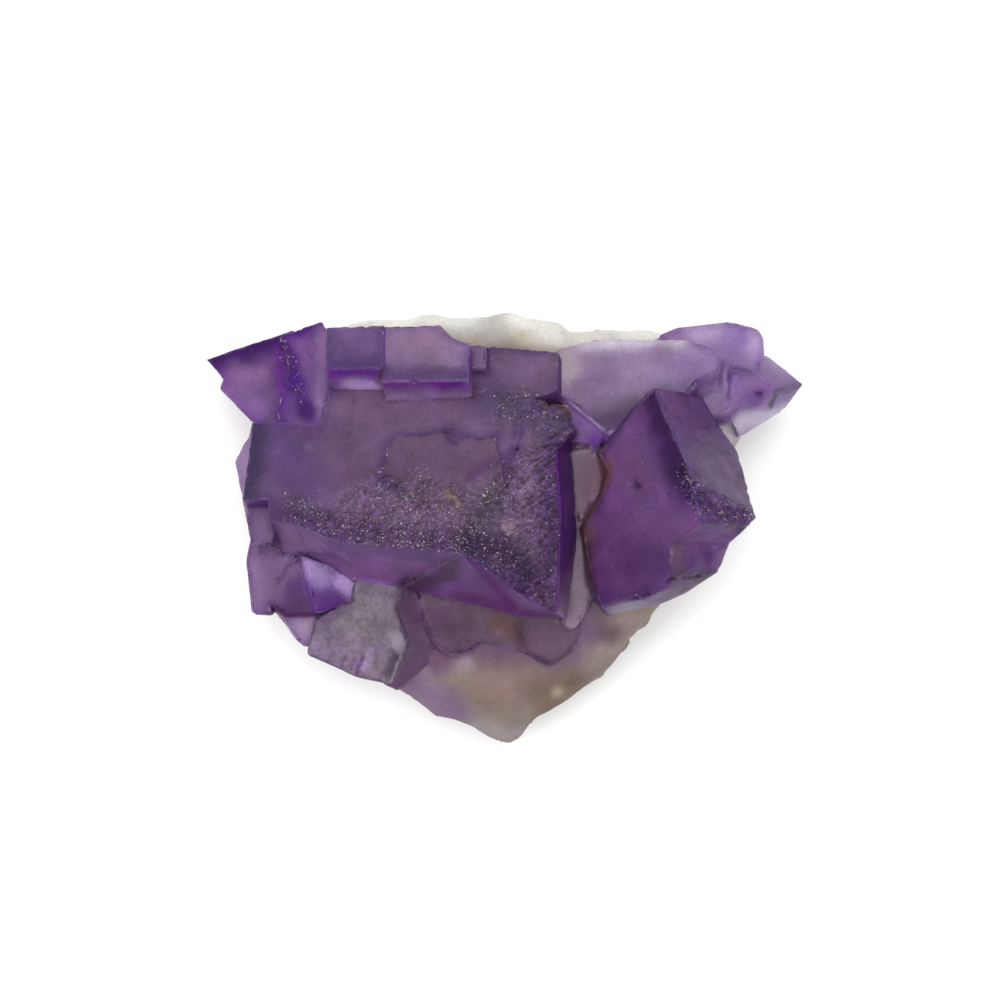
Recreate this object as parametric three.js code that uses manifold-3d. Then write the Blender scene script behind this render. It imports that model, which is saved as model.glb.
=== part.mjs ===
// A fluorite cluster: purple cubic crystals grown into one another on a pale broken base of the same mineral.
// Units are millimetres. X runs to the right and Y up across the crystal face, Z rises from the resting side.
import * as THREE from "three";
import { mergeVertices } from "three/addons/utils/BufferGeometryUtils.js";
import Module from "manifold-3d";

// Driving dimensions.
const BASE_CENTRE = [-1, 1];      // the point that the base narrows towards, above and below its edge
const FOOT = { scale: 0.85, height: 0 };       // the flat broken face that the cluster rests on
const LOWER_EDGE = { scale: 0.97, height: 3 };
const SHOULDER = { scale: 0.85, rise: 4.2 };   // above the base's outer edge
const CROWN = { scale: 0.58, level: 13.0, slope: [0.03, 0.02] };     // the base's top, under the crystals
const BURIED_DEPTH = 7;           // how far a small crystal reaches back into its neighbours
const MAIN_DEPTH = 11;            // the same for the large main crystal
const MAIN_SLOPE = [0.2, -0.49];  // rise of the main crystal's face per millimetre of X and of Y
const MAIN_LEVEL = 23.5;          // height of that face's plane above the origin
const CUTTER_SIZE = 80;           // a block large enough to cleave the whole base

// A face plane is z = level + slope[0] * x + slope[1] * y.
function heightOn(plane, [x, y]) {
  return plane.level + plane.slope[0] * x + plane.slope[1] * y;
}

// The front and rear rings of a cubic crystal: an outline on its face plane, swept back square to that face.
function prismRings({ outline, plane, depth = BURIED_DEPTH, flare = [0, 0] }) {
  const normal = new THREE.Vector3(-plane.slope[0], -plane.slope[1], 1).normalize();
  const front = outline.map((p) => new THREE.Vector3(p[0], p[1], heightOn(plane, p)));
  const rear = front.map((p) => {
    const q = p.clone().addScaledVector(normal, -depth);
    q.x += flare[0];
    q.y += flare[1];
    return q;
  });
  return [front, rear];
}

// A closed body through rings of equal length, each running anticlockwise as seen from above.
function loft(rings) {
  const count = rings[0].length;
  const last = rings.length - 1;
  const positions = rings.flat().flatMap((p) => [p.x, p.y, p.z]);
  const index = [];
  for (let r = 0; r < last; r++) {
    for (let i = 0; i < count; i++) {
      const a = r * count + i;
      const b = r * count + ((i + 1) % count);
      index.push(a, a + count, b + count, a, b + count, b);
    }
  }
  const cap = (ring) => THREE.ShapeUtils.triangulateShape(ring.map((p) => new THREE.Vector2(p.x, p.y)), []);
  for (const [a, b, c] of cap(rings[0])) index.push(a, b, c);
  for (const [a, b, c] of cap(rings[last])) index.push(last * count + a, last * count + c, last * count + b);
  const geometry = new THREE.BufferGeometry();
  geometry.setAttribute("position", new THREE.Float32BufferAttribute(positions, 3));
  geometry.setIndex(index);
  return geometry;
}

const ringOf = (points) => points.map(([x, y, z]) => new THREE.Vector3(x, y, z));

// The base: its outer edge, seen from above, with the height of that edge at each point.
const BASE_EDGE = [
  [-27.2, 6.2, 8.0], [-27.0, 4.6, 8.0], [-26.3, 2.0, 8.0], [-25.2, -3.0, 7.0], [-23.8, -8.2, 6.5],
  [-20.5, -11.5, 6.5],
  [-14.0, -14.6, 6.0], [-9.4, -17.2, 7.0], [-6.9, -18.8, 8.0], [-3.5, -20.1, 8.5], [-1.6, -21.2, 8.5],
  [0.3, -21.6, 8.5], [1.6, -21.1, 8.5], [2.4, -20.1, 8.0], [4.3, -18.4, 8.0], [7.7, -16.4, 8.0],
  [9.4, -15.5, 8.0], [11.2, -13.3, 8.5], [13.3, -10.6, 9.0], [15.8, -7.8, 9.0], [20.0, -4.0, 8.0],
  [22.5, 1.5, 8.0], [22.3, 7.0, 7.5], [25.0, 10.1, 7.0], [26.5, 13.5, 6.0], [25.0, 18.2, 6.0],
  [20.5, 19.2, 7.0], [15.5, 19.6, 8.0], [10.0, 19.7, 8.5], [6.7, 19.6, 9.0], [5.5, 20.6, 9.0],
  [1.5, 21.2, 9.0], [0.0, 21.6, 9.0], [-2.0, 21.2, 8.5], [-5.5, 21.1, 8.5], [-7.5, 21.5, 8.0],
  [-10.0, 20.9, 8.0], [-13.3, 20.9, 8.0], [-16.0, 20.4, 7.5], [-19.5, 18.0, 6.0], [-24.0, 15.0, 6.0],
  [-25.2, 11.0, 7.0], [-26.1, 8.4, 7.5],
];

// Flat cleavage faces that the base broke along: a direction outwards and a point on the face.
const CLEAVAGES = [
  { outwards: [0.05, -0.77, -0.64], through: [0.0, -20.5, 5.5] },
  { outwards: [0.65, -0.42, -0.64], through: [16.5, -7.0, 5.5] },
  { outwards: [0.8, 0.1, -0.6], through: [22.0, 3.0, 4.0] },
  { outwards: [0.55, 0.55, -0.63], through: [20.0, 15.5, 4.5] },
  { outwards: [-0.05, 0.77, -0.64], through: [-3.0, 20.5, 5.5] },
  { outwards: [-0.5, 0.6, -0.62], through: [-20.0, 15.5, 4.0] },
  { outwards: [-0.77, 0.05, -0.64], through: [-25.5, 3.0, 5.0] },
  { outwards: [-0.5, -0.58, -0.64], through: [-15.5, -13.2, 4.0] },
];

// One ring of the base: its outer edge drawn in towards the centre, at a height found from each point.
function baseRing(scale, heightAt) {
  return BASE_EDGE.map(([edgeX, edgeY, edgeZ]) => {
    const x = BASE_CENTRE[0] + (edgeX - BASE_CENTRE[0]) * scale;
    const y = BASE_CENTRE[1] + (edgeY - BASE_CENTRE[1]) * scale;
    return new THREE.Vector3(x, y, heightAt(x, y, edgeZ));
  });
}

function baseRings() {
  return [
    baseRing(CROWN.scale, (x, y) => heightOn(CROWN, [x, y])),
    baseRing(SHOULDER.scale, (x, y, z) => z + SHOULDER.rise),
    baseRing(1, (x, y, z) => z),
    baseRing(LOWER_EDGE.scale, () => LOWER_EDGE.height),
    baseRing(FOOT.scale, () => FOOT.height),
  ];
}

// A block whose lower side lies on a flat face, to be cut away from a body.
function cleavageBlock({ outwards, through }) {
  const direction = new THREE.Vector3(...outwards).normalize();
  const block = new THREE.BoxGeometry(CUTTER_SIZE, CUTTER_SIZE, CUTTER_SIZE);
  block.translate(0, 0, CUTTER_SIZE / 2);
  block.applyQuaternion(new THREE.Quaternion().setFromUnitVectors(new THREE.Vector3(0, 0, 1), direction));
  block.translate(...through);
  return block;
}

// The face plane of the main crystal, raised or lowered by a growth step.
const mainPlane = (step = 0) => ({ level: MAIN_LEVEL + step, slope: MAIN_SLOPE });

// Crystals whose sides stand square to one face: the outline is that face's edge, seen from above.
const CUBIC_CRYSTALS = {
  main: {
    outline: [
      [-26.2, 2.7], [-23.7, 2.7], [-23.5, 0.5], [-20.9, 0.3], [-16.5, -1.5], [-4.2, -2.6], [-1.0, 3.0],
      [3.2, 12.9], [5.2, 13.6], [5.4, 17.5], [-1.5, 18.1], [-3.6, 18.2], [-12.0, 18.8], [-17.3, 18.8],
      [-17.8, 13.8], [-18.6, 10.1], [-22.9, 10.6], [-25.3, 10.5],
    ],
    plane: mainPlane(),
    depth: MAIN_DEPTH,
  },
  main_growth_step: {
    outline: [
      [-12.2, 5.2], [-8.0, 2.0], [-3.0, 1.0], [0.0, 4.0], [-1.0, 9.0], [-5.3, 8.7], [-5.5, 9.7],
      [-10.5, 9.0], [-11.7, 8.2],
    ],
    plane: { level: MAIN_LEVEL - 0.03, slope: [MAIN_SLOPE[0], MAIN_SLOPE[1] + 0.016] },
    depth: 3,
  },
  corner_step: {
    outline: [[-25.8, 2.9], [-25.9, 1.0], [-25.4, -1.9], [-23.2, -1.9], [-22.9, -0.4], [-22.9, 3.0]],
    plane: mainPlane(-1.9),
    flare: [0.0, 2.4],
  },
  ridge_left: {
    outline: [[-30.0, 16.8], [-28.3, 14.8], [-28.7, 13.9], [-25.5, 10.6], [-21.5, 9.2], [-21.4, 19.8]],
    plane: { level: 22.75, slope: [0.18, -0.55] },
    flare: [0.6, 3.2],
  },
  ridge_right: {
    outline: [
      [-22.6, 19.2], [-21.8, 16.2], [-22.0, 14.7], [-22.8, 11.5], [-22.3, 9.0], [-17.0, 8.5],
      [-17.0, 13.0], [-17.5, 16.0], [-17.7, 19.7], [-18.4, 20.7],
    ],
    plane: { level: 19.5, slope: [0.05, -0.5] },
  },
  small_cube: {
    outline: [[-18.0, 15.7], [-12.1, 15.8], [-12.1, 20.2], [-17.9, 20.0]],
    plane: { level: 31.0, slope: [0.25, -0.65] },
  },
  long_cube: {
    outline: [[-12.3, 14.4], [-3.6, 14.5], [-3.5, 18.3], [-5.2, 19.0], [-6.5, 20.2], [-12.1, 20.0]],
    plane: { level: 28.6, slope: [0.14, -0.62] },
  },
  clear_step: {
    outline: [[-3.9, 15.8], [-1.9, 15.9], [-1.9, 18.0], [-3.9, 18.1]],
    plane: mainPlane(1.1),
    depth: 4,
  },
  rear_right: {
    outline: [
      [10.2, 9.4], [16.2, 11.0], [19.2, 14.4], [21.5, 15.6], [21.8, 17.2], [20.7, 18.2], [18.5, 18.9],
      [9.5, 19.0], [5.0, 18.0], [5.0, 13.7],
    ],
    plane: { level: 18.2, slope: [0.03, -0.22] },
    depth: 8,
    flare: [-1.2, -4.5],
  },
  violet_face: {
    outline: [
      [3.6, 13.2], [4.8, 11.8], [6.3, 9.4], [6.8, 6.4], [7.9, 6.2], [10.3, 9.4], [6.3, 12.9], [4.9, 13.9],
    ],
    plane: { level: 9.16, slope: [0.45, 0.257] },
  },
  far_right: {
    outline: [
      [17.0, 11.0], [22.4, 10.6], [24.6, 13.4], [26.1, 17.4], [26.0, 19.1], [25.4, 20.0], [22.6, 20.7],
      [17.5, 20.1], [15.5, 19.3],
    ],
    plane: { level: 17.3, slope: [-0.1, -0.15] },
  },
  pale_strip: {
    outline: [
      [6.2, 3.0], [6.0, -4.0], [5.6, -9.2], [6.1, -10.2], [6.9, -10.3], [8.0, -8.8], [9.2, -6.0],
      [9.0, -3.0], [9.0, 0.2], [9.9, 3.2], [10.6, 5.5], [9.4, 8.2], [6.6, 8.2],
    ],
    plane: { level: 15.0, slope: [-0.02, 0.04] },
  },
  lower_left: {
    outline: [
      [-25.5, -1.2], [-26.0, -3.6], [-25.4, -8.8], [-23.3, -8.9], [-23.6, -7.7], [-21.5, -4.3], [-20.5, -1.5],
    ],
    plane: { level: 14.6, slope: [0.1, 0.1] },
  },
  wedge_dark: {
    outline: [[-23.6, -7.7], [-22.5, -9.2], [-18.9, -8.8], [-19.9, -2.5], [-21.9, -3.5]],
    plane: { level: 18.1, slope: [0.25, 0.1] },
  },
  wedge_bright: {
    outline: [[-20.3, -2.8], [-18.9, -8.8], [-14.6, -7.3], [-14.4, -5.0]],
    plane: { level: 10.8, slope: [-0.15, 0.1] },
  },
  frosted: {
    outline: [
      [-15.3, -7.3], [-19.0, -9.2], [-19.9, -12.8], [-15.0, -15.0], [-11.5, -15.9], [-10.5, -13.3],
      [-9.8, -11.3], [-10.9, -8.1], [-10.2, -5.6], [-15.0, -5.2],
    ],
    plane: { level: 15.9, slope: [0.15, 0.12] },
  },
  left_foot: {
    outline: [[-22.6, -9.0], [-22.3, -9.6], [-21.2, -11.3], [-20.0, -12.2], [-18.5, -11.0], [-18.5, -8.6]],
    plane: { level: 15.6, slope: [0.2, 0.1] },
  },
  violet_wedge: {
    outline: [
      [-11.0, -5.9], [-11.2, -8.6], [-10.4, -11.4], [-11.2, -13.4], [-12.2, -15.8], [-10.6, -16.6],
      [-8.6, -14.6], [-7.0, -12.9], [-6.0, -11.6], [-6.9, -9.8], [-7.8, -5.9],
    ],
    plane: { level: 13.6, slope: [-0.1, 0.2] },
  },
  mauve_block: {
    outline: [
      [-8.9, -6.4], [-8.2, -9.6], [-7.0, -12.0], [-5.6, -12.9], [-4.4, -12.8], [-2.2, -11.5], [0.7, -12.1],
      [2.6, -12.9], [4.2, -13.9], [4.9, -13.8], [6.9, -12.0], [7.6, -10.2], [7.4, -8.6], [1.0, -7.0],
    ],
    plane: { level: 13.95, slope: [0.0, 0.1] },
  },
};

// The front of the main crystal: a second individual, nearest the viewer, whose lower face is cut back. Its
// face lies just under the main one, and turns down onto a bent plane towards its right edge.
const FRONT_PLANE = mainPlane(-0.01);
const FRONT_BEND = { outwards: [0.02, 0.444, 1], through: [0, 0, 23.45] };
const FRONT_OUTLINE = [
  [2.2, 14.2], [-6.7, 10.0], [-8.0, 4.0], [-7.0, -1.5], [-4.2, -2.6], [2.2, -7.0], [5.0, -8.5],
  [5.3, 0.0], [5.0, 7.6], [7.0, 9.7], [6.3, 10.6], [6.3, 12.1], [4.4, 12.3],
];
const FRONT_REAR = [
  [2.5, 10.0, 8.0], [-6.0, 6.0, 9.0], [-7.0, 1.0, 10.0], [-10.5, -2.0, 12.0], [-10.3, -6.1, 14.5],
  [1.0, -8.9, 16.0], [6.2, -9.2, 17.0], [7.3, -0.3, 14.0], [7.3, 7.6, 12.0], [7.5, 9.0, 11.0],
  [7.0, 9.6, 10.0], [6.5, 10.3, 9.0], [4.5, 10.3, 8.0],
];

// The right-hand crystal: a broad left face, a steep right face and a cut lower corner.
const RIGHT_PLANE = { level: 12.0, slope: [0.62, -0.1] };
const RIGHT_OUTLINE = [
  [14.9, 13.8], [13.3, 12.3], [10.8, 9.2], [9.3, 7.4], [10.3, 5.5], [9.6, 3.2], [7.6, 0.0],
  [8.1, -2.6], [8.7, -6.0], [9.5, -8.1], [13.5, -7.2], [15.5, -6.3], [16.5, -5.2], [16.6, -1.6],
  [19.5, 0.2], [18.3, 5.4], [17.4, 7.7], [16.6, 9.5], [15.7, 11.6],
];
const RIGHT_MIDDLE = [
  [19.6, 13.2, 14.8], [13.3, 12.8, 10.0], [10.5, 9.6, 10.0], [8.9, 7.4, 10.0], [9.9, 5.5, 10.0],
  [9.2, 3.2, 10.0], [7.2, 0.0, 10.0], [7.7, -2.6, 10.0], [8.2, -6.2, 13.0], [10.0, -9.0, 15.0],
  [15.5, -7.8, 17.0], [18.2, -6.6, 17.5], [21.2, -4.6, 18.0], [22.4, -1.6, 18.5], [24.3, 0.0, 18.5],
  [25.2, 0.9, 18.0], [24.4, 3.6, 15.0], [23.2, 7.8, 13.0], [21.5, 10.0, 14.0],
];
const RIGHT_HEART = [15, 3];
const RIGHT_REAR = { scale: 0.7, height: 5 };

function rightRings() {
  const front = RIGHT_OUTLINE.map((p) => new THREE.Vector3(p[0], p[1], heightOn(RIGHT_PLANE, p)));
  const rear = RIGHT_MIDDLE.map(
    ([x, y]) =>
      new THREE.Vector3(
        RIGHT_HEART[0] + (x - RIGHT_HEART[0]) * RIGHT_REAR.scale,
        RIGHT_HEART[1] + (y - RIGHT_HEART[1]) * RIGHT_REAR.scale,
        RIGHT_REAR.height,
      ),
  );
  return [front, ringOf(RIGHT_MIDDLE), rear];
}

// The right tip: a low blunt point with a ridge that runs out to its end.
const TIP_RINGS = [
  [[26.8, 13.7, 12.5], [25.4, 15.3, 12.8], [22.6, 15.6, 13.6], [21.9, 11.6, 13.4], [25.4, 12.3, 12.3]],
  [[30.0, 14.3, 9.0], [26.4, 17.3, 9.5], [22.0, 17.5, 9.5], [23.4, 8.7, 9.5], [28.0, 11.6, 8.6]],
  [[27.6, 13.9, 4.2], [25.2, 15.8, 3.8], [21.0, 16.0, 3.8], [22.0, 10.4, 3.8], [25.6, 11.8, 4.0]],
].map(ringOf);

const wasm = await Module();
wasm.setup();

function solidFrom(geometry) {
  geometry.deleteAttribute("normal");
  geometry.deleteAttribute("uv");
  const merged = mergeVertices(geometry);
  return new wasm.Manifold(
    new wasm.Mesh({
      numProp: 3,
      vertProperties: merged.attributes.position.array,
      triVerts: new Uint32Array(merged.index.array),
    }),
  );
}

function geometryFrom(solid) {
  const mesh = solid.getMesh();
  const geometry = new THREE.BufferGeometry();
  geometry.setAttribute("position", new THREE.Float32BufferAttribute(mesh.vertProperties, 3));
  geometry.setIndex(new THREE.Uint32BufferAttribute(mesh.triVerts, 1));
  geometry.computeVertexNormals();
  return geometry;
}

const base = CLEAVAGES.map((face) => solidFrom(cleavageBlock(face))).reduce(
  (rest, block) => rest.subtract(block),
  solidFrom(loft(baseRings())),
);
const frontRing = FRONT_OUTLINE.map((p) => new THREE.Vector3(p[0], p[1], heightOn(FRONT_PLANE, p)));
const front = solidFrom(loft([frontRing, ringOf(FRONT_REAR)])).subtract(solidFrom(cleavageBlock(FRONT_BEND)));
const lofted = [...Object.values(CUBIC_CRYSTALS).map(prismRings), rightRings(), TIP_RINGS];
const crystals = [front, ...lofted.map((rings) => solidFrom(loft(rings)))];
const cluster = crystals.reduce((whole, body) => whole.add(body), base);

const fluorite = new THREE.MeshStandardMaterial({ color: 0x6f5676, roughness: 0.3, metalness: 0 });
const mesh = new THREE.Mesh(geometryFrom(cluster), fluorite);
mesh.name = "fluorite_cluster";

const group = new THREE.Group();
group.add(mesh);

export default group;
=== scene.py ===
"""A fluorite cluster: purple, see-through cubic crystals grown into one another on a milky broken base.

It lies on its broken back, and the camera looks straight down on it. Sizes are in millimetres until a mesh
is made, and in metres from there on.
"""
import bpy
import numpy as np
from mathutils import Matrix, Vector


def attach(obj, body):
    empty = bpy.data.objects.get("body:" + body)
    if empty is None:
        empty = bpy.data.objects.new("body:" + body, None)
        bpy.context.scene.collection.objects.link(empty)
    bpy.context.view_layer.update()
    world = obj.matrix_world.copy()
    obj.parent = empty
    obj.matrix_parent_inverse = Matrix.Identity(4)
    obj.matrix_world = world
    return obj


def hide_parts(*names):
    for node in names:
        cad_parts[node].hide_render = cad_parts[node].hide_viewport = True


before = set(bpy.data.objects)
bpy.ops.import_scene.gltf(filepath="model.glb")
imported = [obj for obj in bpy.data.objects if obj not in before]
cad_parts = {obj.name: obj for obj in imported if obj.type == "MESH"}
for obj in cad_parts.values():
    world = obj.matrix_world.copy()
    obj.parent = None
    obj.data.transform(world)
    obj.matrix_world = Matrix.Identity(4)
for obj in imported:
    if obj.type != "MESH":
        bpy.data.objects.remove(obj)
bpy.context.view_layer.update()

# ---------------------------------------------------------------------------------------------------------
# The base. Milky fluorite of the same growth, without faces of its own: it broke from the rock wall, partly
# along flat cleavage faces and partly in a rough, splintered way, and the cluster lies on one such face.
# It is made first, as a closed shell, and the crystals are then joined into it.
# ---------------------------------------------------------------------------------------------------------
MM = 0.001
CELL_FACTORS = np.array([73856093, 19349663, 83492791])      # large numbers that scatter near cells
SALT_FACTOR = 2654435761
REAR = 99            # the band of the faces that close a shell at the back
SHAPING_EDGE = 0.7   # longest edge of a shell that is shaped, in millimetres
CLEAVED_SHARE = 0.93      # how far a point outside a cleavage face is moved to it; the rest is its roughness


def height_on(plane, points):
    """Height of the plane z = level + slope_x * x + slope_y * y above each point."""
    level, slope_x, slope_y = plane
    points = np.asarray(points, float)
    return level + slope_x * points[..., 0] + slope_y * points[..., 1]


def lattice_value(cell, salt):
    """A fixed random number from 0 to 1 for each cell of a cubic lattice, mixed from its whole numbers."""
    mixed = np.bitwise_xor.reduce(cell * CELL_FACTORS, axis=-1) ^ (salt * SALT_FACTOR)
    mixed = ((mixed ^ (mixed >> 13)) * 1274126177) & 0x7FFFFFFF
    mixed = ((mixed ^ (mixed >> 15)) * 2246822519) & 0x7FFFFFFF
    return ((mixed ^ (mixed >> 16)) & 0xFFFF) / 65535.0


def haze(points, size, salt):
    """Smooth noise from 0 to 1: lattice values at spacing size, blended along each axis by 3t^2 - 2t^3."""
    place = np.asarray(points, float) / size + 31.7 * salt
    cell = np.floor(place).astype(np.int64)
    part = place - cell
    part = part * part * (3 - 2 * part)
    total = np.zeros(len(place))
    for corner in range(8):
        step = np.array([corner & 1, corner >> 1 & 1, corner >> 2])
        weight = np.where(step == 1, part, 1 - part).prod(axis=1)
        total += weight * lattice_value(cell + step, salt)
    return total


def splinters(points, size, salt):
    """Faceted noise from about -0.5 to 0.5: each point takes the nearest of the seeds jittered about a
    lattice, and its height on the small tilted plane through that seed."""
    place = np.asarray(points, float) / size + 17.3 * salt
    cell = np.floor(place).astype(np.int64)
    nearest = np.full(len(place), 9.0)
    height = np.zeros(len(place))
    for corner in range(27):
        near = cell + np.array([corner % 3 - 1, corner // 3 % 3 - 1, corner // 9 - 1])
        seed = near + np.stack([lattice_value(near, salt + k) for k in (1, 2, 3)], axis=1)
        away = place - seed
        gap = (away**2).sum(axis=1)
        tilt = np.stack([lattice_value(near, salt + k) - 0.5 for k in (4, 5, 6)], axis=1)
        own = (away * tilt).sum(axis=1) + 0.5 * (lattice_value(near, salt + 7) - 0.5)
        closer = gap < nearest
        nearest = np.where(closer, gap, nearest)
        height = np.where(closer, own, height)
    return height


def closed_shell(rings, hearts):
    """A profile carried round an outline: straight out from the front heart to the first ring, down the walls
    from ring to ring, and straight in from the last ring to the rear heart. Returns its points and triangles,
    and each triangle's band (0 front, 1 and on for the walls, REAR) and side of the outline."""
    rings = np.asarray(rings, float)
    count, around = rings.shape[:2]
    points = np.concatenate([rings.reshape(-1, 3), np.asarray(hearts, float)])
    side = np.arange(around)
    ahead = np.roll(side, -1)
    upper = (np.arange(count - 1) * around)[:, None]
    a, b = upper + side, upper + ahead
    walls = np.stack([a, a + around, b + around, a, b + around, b], axis=2).reshape(-1, 3)
    front = np.stack([np.full(around, count * around), side, ahead], axis=1)
    last = (count - 1) * around
    rear = np.stack([last + side, np.full(around, count * around + 1), last + ahead], axis=1)
    band = np.concatenate([
        np.repeat(np.arange(1, count), 2 * around), np.zeros(around, int), np.full(around, REAR)])
    sides = np.concatenate([np.tile(np.repeat(side, 2), count - 1), side, side])
    return points, np.concatenate([walls, front, rear]), np.column_stack([band, sides])


def refined(points, triangles, labels, wanted):
    """The same surface in smaller triangles. Each edge longer than wanted(middles, labels) gives for a
    triangle beside it is split at its middle, round after round, and a split triangle is always halved across
    its longest edge first, so that no thin ones come out. Each piece keeps the labels of its triangle."""
    for _ in range(30):
        corners = points[triangles]
        length = np.linalg.norm(np.roll(corners, -1, axis=1) - corners, axis=2)
        order = (length.argmax(axis=1)[:, None] + np.arange(3)) % 3
        triangles = np.take_along_axis(triangles, order, axis=1)
        length = np.take_along_axis(length, order, axis=1)
        ends = np.sort(np.stack([triangles, np.roll(triangles, -1, axis=1)], axis=2), axis=2).astype(np.int64)
        keys, edge = np.unique(ends[..., 0] * len(points) + ends[..., 1], return_inverse=True)
        edge = edge.reshape(-1, 3)
        split = np.zeros(len(keys), bool)
        split[edge[length > wanted(corners.mean(axis=1), labels)[:, None]]] = True
        if not split.any():
            break
        held_up = split[edge].any(axis=1) & ~split[edge[:, 0]]
        while held_up.any():
            split[edge[held_up, 0]] = True
            held_up = split[edge].any(axis=1) & ~split[edge[:, 0]]
        number = np.cumsum(split) - 1 + len(points)
        middle = np.where(split[edge], number[edge], -1)
        chosen = keys[split]
        points = np.concatenate([points, (points[chosen // len(points)] + points[chosen % len(points)]) / 2])
        (a, b, c), (m, n, q) = triangles.T, middle.T
        cut = m >= 0
        pieces = (
            (~cut, (a, b, c)),
            (cut & (n < 0), (m, b, c)), (cut & (n >= 0), (m, b, n)), (cut & (n >= 0), (m, n, c)),
            (cut & (q < 0), (a, m, c)), (cut & (q >= 0), (a, m, q)), (cut & (q >= 0), (q, m, c)),
        )
        triangles = np.concatenate([
            np.stack([corner[these] for corner in three], axis=1) for these, three in pieces])
        labels = np.concatenate([labels[these] for these, three in pieces])
    return points, triangles, labels


def mesh_of(name, points, triangles):
    """A triangle mesh in metres from points in millimetres."""
    mesh = bpy.data.meshes.new(name)
    mesh.vertices.add(len(points))
    mesh.vertices.foreach_set("co", (np.asarray(points, float) * MM).ravel())
    mesh.loops.add(3 * len(triangles))
    mesh.loops.foreach_set("vertex_index", np.asarray(triangles).ravel())
    mesh.polygons.add(len(triangles))
    mesh.polygons.foreach_set("loop_start", np.arange(len(triangles)) * 3)
    mesh.update(calc_edges=True)
    return mesh


def placed(name, data):
    """A new object of the scene that holds this mesh, lamp or camera."""
    made = bpy.data.objects.new(name, data)
    bpy.context.scene.collection.objects.link(made)
    return made


def write_layer(mesh, key, kind, domain, field, values):
    """One value under a name for each corner, point or face of a mesh."""
    mesh.attributes.new(key, kind, domain).data.foreach_set(field, values.ravel())


growth = []          # one entry for each body that the cluster is joined from, the base first


def grow(name, rings, hearts, plane, shaped=None):
    """One body of the cluster, kept as a temporary object whose triangles know their body, band and side. A
    body that is given a shaping function is cut to small triangles before it is shaped."""
    points, triangles, labels = closed_shell(rings, hearts)
    if shaped is not None:
        points, triangles, labels = refined(
            points, triangles, labels, lambda middles, _: np.full(len(middles), SHAPING_EDGE))
        points = shaped(points)
    body = placed(name, mesh_of(name, points, triangles))
    numbers = np.full(len(triangles), len(growth))
    for key, values in (("body", numbers), ("band", labels[:, 0]), ("side", labels[:, 1])):
        write_layer(body.data, key, "INT", "FACE", "value", values.astype(np.int32))
    growth.append({"name": name, "object": body, "plane": plane})


BASE_CENTRE = np.array([-1.0, 1.0])
CROWN_PLANE = (13.0, 0.03, 0.02)
BASE_EDGE = np.array([
    (-27.2, 6.2, 8), (-27, 4.6, 8), (-26.3, 2, 8), (-25.2, -3, 7), (-23.8, -8.2, 6.5),
    (-20.5, -11.5, 6.5), (-14, -14.6, 6), (-9.4, -17.2, 7), (-6.9, -18.8, 8), (-3.5, -20.1, 8.5),
    (-1.6, -21.2, 8.5), (0.3, -21.6, 8.5), (1.6, -21.1, 8.5), (2.4, -20.1, 8), (4.3, -18.4, 8),
    (7.7, -16.4, 8), (9.4, -15.5, 8), (11.2, -13.3, 8.5), (13.3, -10.6, 9), (15.8, -7.8, 9), (20, -4, 8),
    (22.5, 1.5, 8), (22.3, 7, 7.5), (25, 10.1, 7), (26.5, 13.5, 6), (25, 18.2, 6), (20.5, 19.2, 7),
    (15.5, 19.6, 8), (10, 19.7, 8.5), (6.7, 19.6, 9), (5.5, 20.6, 9), (1.5, 21.2, 9), (0, 21.6, 9),
    (-2, 21.2, 8.5), (-5.5, 21.1, 8.5), (-7.5, 21.5, 8), (-10, 20.9, 8), (-13.3, 20.9, 8),
    (-16, 20.4, 7.5), (-19.5, 18, 6), (-24, 15, 6), (-25.2, 11, 7), (-26.1, 8.4, 7.5),
])
CLEAVAGES = (        # outward direction of each flat face that the base broke along, and a point on it
    ((0.05, -0.77, -0.64), (0.0, -20.5, 5.5)), ((0.65, -0.42, -0.64), (16.5, -7.0, 5.5)),
    ((0.8, 0.1, -0.6), (22.0, 3.0, 4.0)), ((0.55, 0.55, -0.63), (20.0, 15.5, 4.5)),
    ((-0.05, 0.77, -0.64), (-3.0, 20.5, 5.5)), ((-0.5, 0.6, -0.62), (-20.0, 15.5, 4.0)),
    ((-0.77, 0.05, -0.64), (-25.5, 3.0, 5.0)), ((-0.5, -0.58, -0.64), (-15.5, -13.2, 4.0)),
)


def base_ring(scale, heights):
    """The base's outer edge drawn in towards the centre, with a height for each point."""
    flat = BASE_CENTRE + (BASE_EDGE[:, :2] - BASE_CENTRE) * scale
    return np.column_stack([flat, heights if np.ndim(heights) else np.full(len(flat), heights)])


def broken(points):
    """The shell with its rough fracture: splinters of three sizes push each point out from the middle, more
    on the sides than on top. Then every point outside a cleavage face is moved most of the way to it, and
    the foot is cut flat."""
    middle = np.array([BASE_CENTRE[0], BASE_CENTRE[1], 8.0])
    outwards = points - middle
    outwards /= np.linalg.norm(outwards, axis=1)[:, None] + 1e-9
    relief = 0.9 * splinters(points, 4.2, 11) + 0.4 * splinters(points, 1.8, 23)
    relief += 0.14 * splinters(points, 0.9, 37)
    relief *= np.clip((13.5 - points[:, 2]) / 4.0, 0.3, 1)
    foot = np.clip(points[:, 2] / 1.5, 0, 1)
    moved = points + outwards * (relief * foot)[:, None] * np.array([0.75, 0.75, 0.9])
    for direction, through in CLEAVAGES:
        direction = np.array(direction) / np.linalg.norm(direction)
        over = np.maximum(0, (moved - np.array(through)) @ direction)
        moved -= direction * (over * CLEAVED_SHARE)[:, None]
    moved[:, 2] = np.maximum(moved[:, 2], 0)
    return moved


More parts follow.
